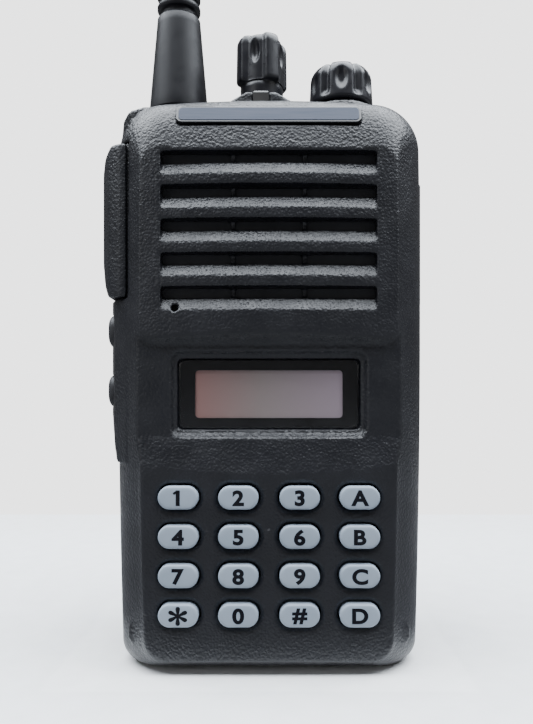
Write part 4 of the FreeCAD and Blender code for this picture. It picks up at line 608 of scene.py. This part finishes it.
knob(
    "volume_knob", "volume", VOLUME_OUTLINE, count=6, first=-124.0, groove=(0.9, 0.05, 0.32),
    foot=(0.6, 2.2), dent=(0.75, 1.0, 1.5, 4.3, 2.7),
)

# %% The antenna
def antenna():
    """Boot, five soft rings, and a whip that grows slimmer up to a rounded tip."""
    low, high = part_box("antenna_whip")
    top = (high.z - low.z) / MM
    outline = [(0.0, 0.0), (5.75, 0.0), (5.95, 0.2)] + wall(5.95, 4.35, 0.6, 19.2, 12) + [(4.1, 19.5)]
    for ring in range(5):
        foot = 19.9 + 2.45 * ring
        outline += [(3.7, foot), (3.7, foot + 0.75), (4.2, foot + 0.95), (4.38, foot + 1.3)]
        outline += [(4.38, foot + 1.85), (4.2, foot + 2.2)]
    outline += [(3.7, 32.4)] + wall(3.7, 2.9, 33.0, top - 2.6, 30)
    outline += [(2.88, top - 1.6), (2.7, top - 0.9), (2.3, top - 0.35), (1.6, top - 0.08), (0.0, top)]
    bm = spun(outline, 72)
    bmesh.ops.translate(bm, vec=((low.x + high.x) / 2, TOP_ROW, low.z), verts=bm.verts)
    return add_piece(
        "antenna_rubber_whip", bm, "antenna", antenna_skin, 40.0, ("antenna_whip",),
    )


antenna()
print("knobs and antenna turned")

# %% [markdown]
# ## Window, name plate and contacts
# These are thin plates with round corners.  A plate starts as one square, its corners are bevelled,
# it is drawn to its thickness, and the edge of its face gets a small bevel that catches the light.
# The window is clear in the middle: a black mask lies behind it, and the display lies deeper still.

# %% Flat plates
def round_sheet(wide, tall, corner):
    """One flat face with round corners, in the XY plane, in millimetres."""
    bm = bmesh.new()
    bmesh.ops.create_grid(bm, x_segments=1, y_segments=1, size=0.5 * MM)
    bmesh.ops.scale(bm, vec=(wide, tall, 1.0), verts=bm.verts)
    bmesh.ops.bevel(
        bm, geom=list(bm.verts), offset=corner * MM, segments=6, profile=0.5, affect="VERTICES",
        material=-1,
    )
    return bm


def plate(wide, tall, corner, thick, rim):
    """A round-cornered plate in the XY plane, its face up at Z = 0, in millimetres."""
    bm = round_sheet(wide, tall, corner)
    face = list(bm.faces)
    grown = bmesh.ops.extrude_face_region(bm, geom=face)
    corners = [part for part in grown["geom"] if isinstance(part, bmesh.types.BMVert)]
    bmesh.ops.translate(bm, vec=(0, 0, -thick * MM), verts=corners)
    edge = [line for line in bm.edges if all(abs(end.co.z) < 0.001 * MM for end in line.verts)]
    bmesh.ops.bevel(
        bm, geom=edge, offset=rim * MM, segments=2, profile=0.5, affect="EDGES", material=-1,
    )
    return bm


def frame_plate(wide, tall, corner, hole_wide, hole_tall, thick):
    """A round-cornered plate with a round-cornered hole: an inset face is shrunk and taken out."""
    bm = round_sheet(wide, tall, corner)
    hole = list(bm.faces)
    band = 0.3
    bmesh.ops.inset_region(bm, faces=hole, thickness=band * MM, depth=0.0, use_boundary=True)
    inner = {point for part in hole for point in part.verts}
    shrink = (hole_wide / (wide - 2 * band), hole_tall / (tall - 2 * band), 1.0)
    bmesh.ops.scale(bm, vec=shrink, verts=list(inner))
    bmesh.ops.delete(bm, geom=hole, context="FACES")
    grown = bmesh.ops.extrude_face_region(bm, geom=list(bm.faces))
    back = [part for part in grown["geom"] if isinstance(part, bmesh.types.BMVert)]
    bmesh.ops.translate(bm, vec=(0, 0, -thick * MM), verts=back)
    return bm


# %% The window and the display
low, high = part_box("window_lens")
WINDOW_HIGH = (low.z + high.z) / 2
MASK_BACK, FILM_BACK = 0.85 * MM, 1.15 * MM
lens = plate(33.4, 12.8, 1.3, 0.8, rim=0.25)
stand(lens, 90, "X", (0.0, low.y, WINDOW_HIGH))
add_piece("window_pane", lens, "radio", window_clear, 12.0, ("window_lens",))
mask = frame_plate(33.0, 12.4, 1.2, 27.5, 8.9, 0.25)
stand(mask, 90, "X", (0.0, low.y + MASK_BACK, WINDOW_HIGH))
add_piece("window_mask", mask, "radio", gloss_black, 12.0)
film = plate(28.0, 9.7, 0.4, 0.2, rim=0.05)
stand(film, 90, "X", (0.0, low.y + FILM_BACK, WINDOW_HIGH))
add_piece("display_film", film, "radio", display_grey, 12.0)

# %% The name plate, left blank
low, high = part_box("name_badge")
NAME_MIDDLE = (low + high) / 2
NAME_TILT = 20.0
NAME_OUT = Vector((0.0, -math.cos(math.radians(NAME_TILT)), math.sin(math.radians(NAME_TILT))))
rim = plate(34.0, 3.6, 1.0, 0.9, rim=0.12)
stand(rim, 90 - NAME_TILT, "X", NAME_MIDDLE + NAME_OUT * 0.40 * MM)
add_piece("name_plate_rim", rim, "radio", gloss_black, 12.0, ("name_badge",))
face = plate(33.2, 2.9, 0.75, 0.3, rim=0.1)
stand(face, 90 - NAME_TILT, "X", NAME_MIDDLE + NAME_OUT * 0.50 * MM)
add_piece("name_plate_face", face, "radio", plate_silver, 12.0)

# %% Charging contacts behind the battery's two round windows
for side, across in (("left", -6.0), ("right", 6.0)):
    disc = spun([(0.0, 0.0), (1.25, 0.0), (1.4, -0.06), (1.5, -0.2), (1.5, -0.7), (0.0, -0.7)], 32)
    stand(disc, -90, "X", millimetres(across, 18.85, 9.0))
    add_piece("charge_contact_" + side, disc, "radio", gold, 30.0)
print("window, name plate and contacts made")

# %% [markdown]
# ## The latch's spring
# The latch slides down onto its spring; the spring is a copy of its CAD node that keeps its shape.


def latch_coil():
    """The spring under the latch, a copy of its CAD node."""
    coil = bmesh.new()
    coil.from_mesh(nodes["latch_spring"].data)
    piece = add_piece("latch_coil", coil, "radio", steel, 40.0, ("latch_spring",))
    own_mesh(piece)
    return piece


latch_coil()
print("latch spring made")

# %% [markdown]
# ## The parts that keep their CAD shape
# Everything inside, and the small metal parts, keep their CAD shape, and get a finish that suits
# what they are made of: green boards, nickel cans, black paper, foil and brass.

# %% Finishes for the inner parts
NODE_FINISHES = {
    "lcd_module": display_grey, "lcd_frame": frame_white,
    "speaker_frame": dark_iron, "speaker_cone": black_paper, "speaker_mesh": soft_skin,
    "microphone": nickel, "keypad_mat": soft_skin, "dome_sheet": steel, "key_board": board_green,
    "main_board": board_green, "shield_cans": nickel, "side_switches": board_green,
    "rear_chassis": cast_metal, "main_seal": soft_skin, "chassis_screws": steel, "led_lens": smoked_lamp,
    "antenna_jack": brass, "antenna_ferrule": brass, "channel_switch": dark_iron,
    "volume_control": dark_iron, "control_nuts": nickel, "channel_shaft": nickel, "volume_shaft": nickel,
    "accessory_contacts": black_paper, "battery_cells": cell_foil, "battery_contacts": gold,
    "clip_pin": steel, "clip_spring": steel,
}
for node, finish in NODE_FINISHES.items():
    repaint(node, finish)
print("CAD parts finished:", len(NODE_FINISHES))

# %% [markdown]
# ## Table, light and camera
# The radio stands on a pale table against a pale wall of light.  The wall is the world: the camera
# sees it bright, while the light that it gives is weaker, so that most light comes from a wide lamp
# above.  That lamp draws the bright upper slopes of the louvres and leaves the front face dark.  A
# card that the camera doesn't see keeps the pale table out of the reflections in the front, and two
# weak lamps in front open the shadows.

# %% The table
def stage_piece(name, corners, finish):
    """A flat sheet that isn't part of the radio."""
    bm = bmesh.new()
    bm.faces.new([bm.verts.new(corner) for corner in corners])
    mesh = bpy.data.meshes.new(name)
    bm.to_mesh(mesh)
    bm.free()
    mesh.materials.append(finish)
    sheet = bpy.data.objects.new(name, mesh)
    bpy.context.scene.collection.objects.link(sheet)
    return sheet


TABLE_BACK = 0.1566
table_top = fine_plastic(
    "table top", (0.88, 0.89, 0.89), (0.93, 0.94, 0.94), (0.45, 0.6), cell=0.0030, depth=0.00012,
    strength=0.5,
)
stage_piece(
    "table", [(-0.9, -0.9, 0), (0.9, -0.9, 0), (0.9, TABLE_BACK, 0), (-0.9, TABLE_BACK, 0)], table_top,
)


# %% A dark card that only reflections and bounced light meet
card_black = start_finish("card black", (0.15, 0.15, 0.155), 0.9, specular=0.1)[0]
card = stage_piece(
    "dark card",
    [
        (-0.6, -0.7, 0.001), (0.6, -0.7, 0.001), (0.6, 0.12, 0.001), (0.037, 0.12, 0.001),
        (0.037, -0.025, 0.001), (-0.040, -0.025, 0.001), (-0.040, 0.12, 0.001), (-0.6, 0.12, 0.001),
    ],
    card_black,
)
card.visible_camera = False
card.visible_shadow = False


# %% The lamps and the bright room
def soft_lamp(name, at, towards, wide, tall, power, colour=(1.0, 1.0, 1.0)):
    """A rectangular lamp that points from one place to another."""
    lamp = bpy.data.lights.new(name, "AREA")
    lamp.shape = "RECTANGLE"
    lamp.size, lamp.size_y = wide, tall
    lamp.energy = power
    lamp.color = colour
    holder = bpy.data.objects.new(name, lamp)
    holder.location = at
    holder.rotation_euler = (Vector(towards) - Vector(at)).to_track_quat("-Z", "Y").to_euler()
    bpy.context.scene.collection.objects.link(holder)
    return holder


soft_lamp("overhead lamp", (0.02, -0.05, 0.62), (0.02, -0.03, 0.0), 1.4, 0.62, 32.5, (0.88, 0.935, 1.0))
soft_lamp("left fill", (-0.6, -0.6, 0.30), (0.0, 0.0, 0.06), 0.4, 0.4, 0.7)
soft_lamp("right fill", (0.7, -0.5, 0.30), (0.0, 0.0, 0.06), 0.4, 0.4, 0.35)

ROOM_SEEN, ROOM_LIGHT = 2.9, 0.18
room = bpy.data.worlds.new("pale room")
room.use_nodes = True
glow = room.node_tree.nodes["Background"]
glow.inputs["Color"].default_value = (0.99, 0.995, 1.0, 1.0)
ray = room.node_tree.nodes.new("ShaderNodeLightPath")
strength = room.node_tree.nodes.new("ShaderNodeMapRange")
strength.inputs["To Min"].default_value = ROOM_LIGHT
strength.inputs["To Max"].default_value = ROOM_SEEN
room.node_tree.links.new(ray.outputs["Is Camera Ray"], strength.inputs["Value"])
room.node_tree.links.new(strength.outputs["Result"], glow.inputs["Strength"])
bpy.context.scene.world = room

# %% The camera
camera = bpy.data.cameras.new("camera")
camera.lens = 33.66
camera.sensor_width = 36.0
camera.clip_start = 0.005
camera.shift_x = -0.0145
camera.shift_y = 0.0525
eye = bpy.data.objects.new("camera", camera)
eye.location = millimetres(1.5, -142.0, 50.5)
eye.rotation_euler = (math.radians(90.0), 0.0, 0.0)
bpy.context.scene.collection.objects.link(eye)
bpy.context.scene.camera = eye
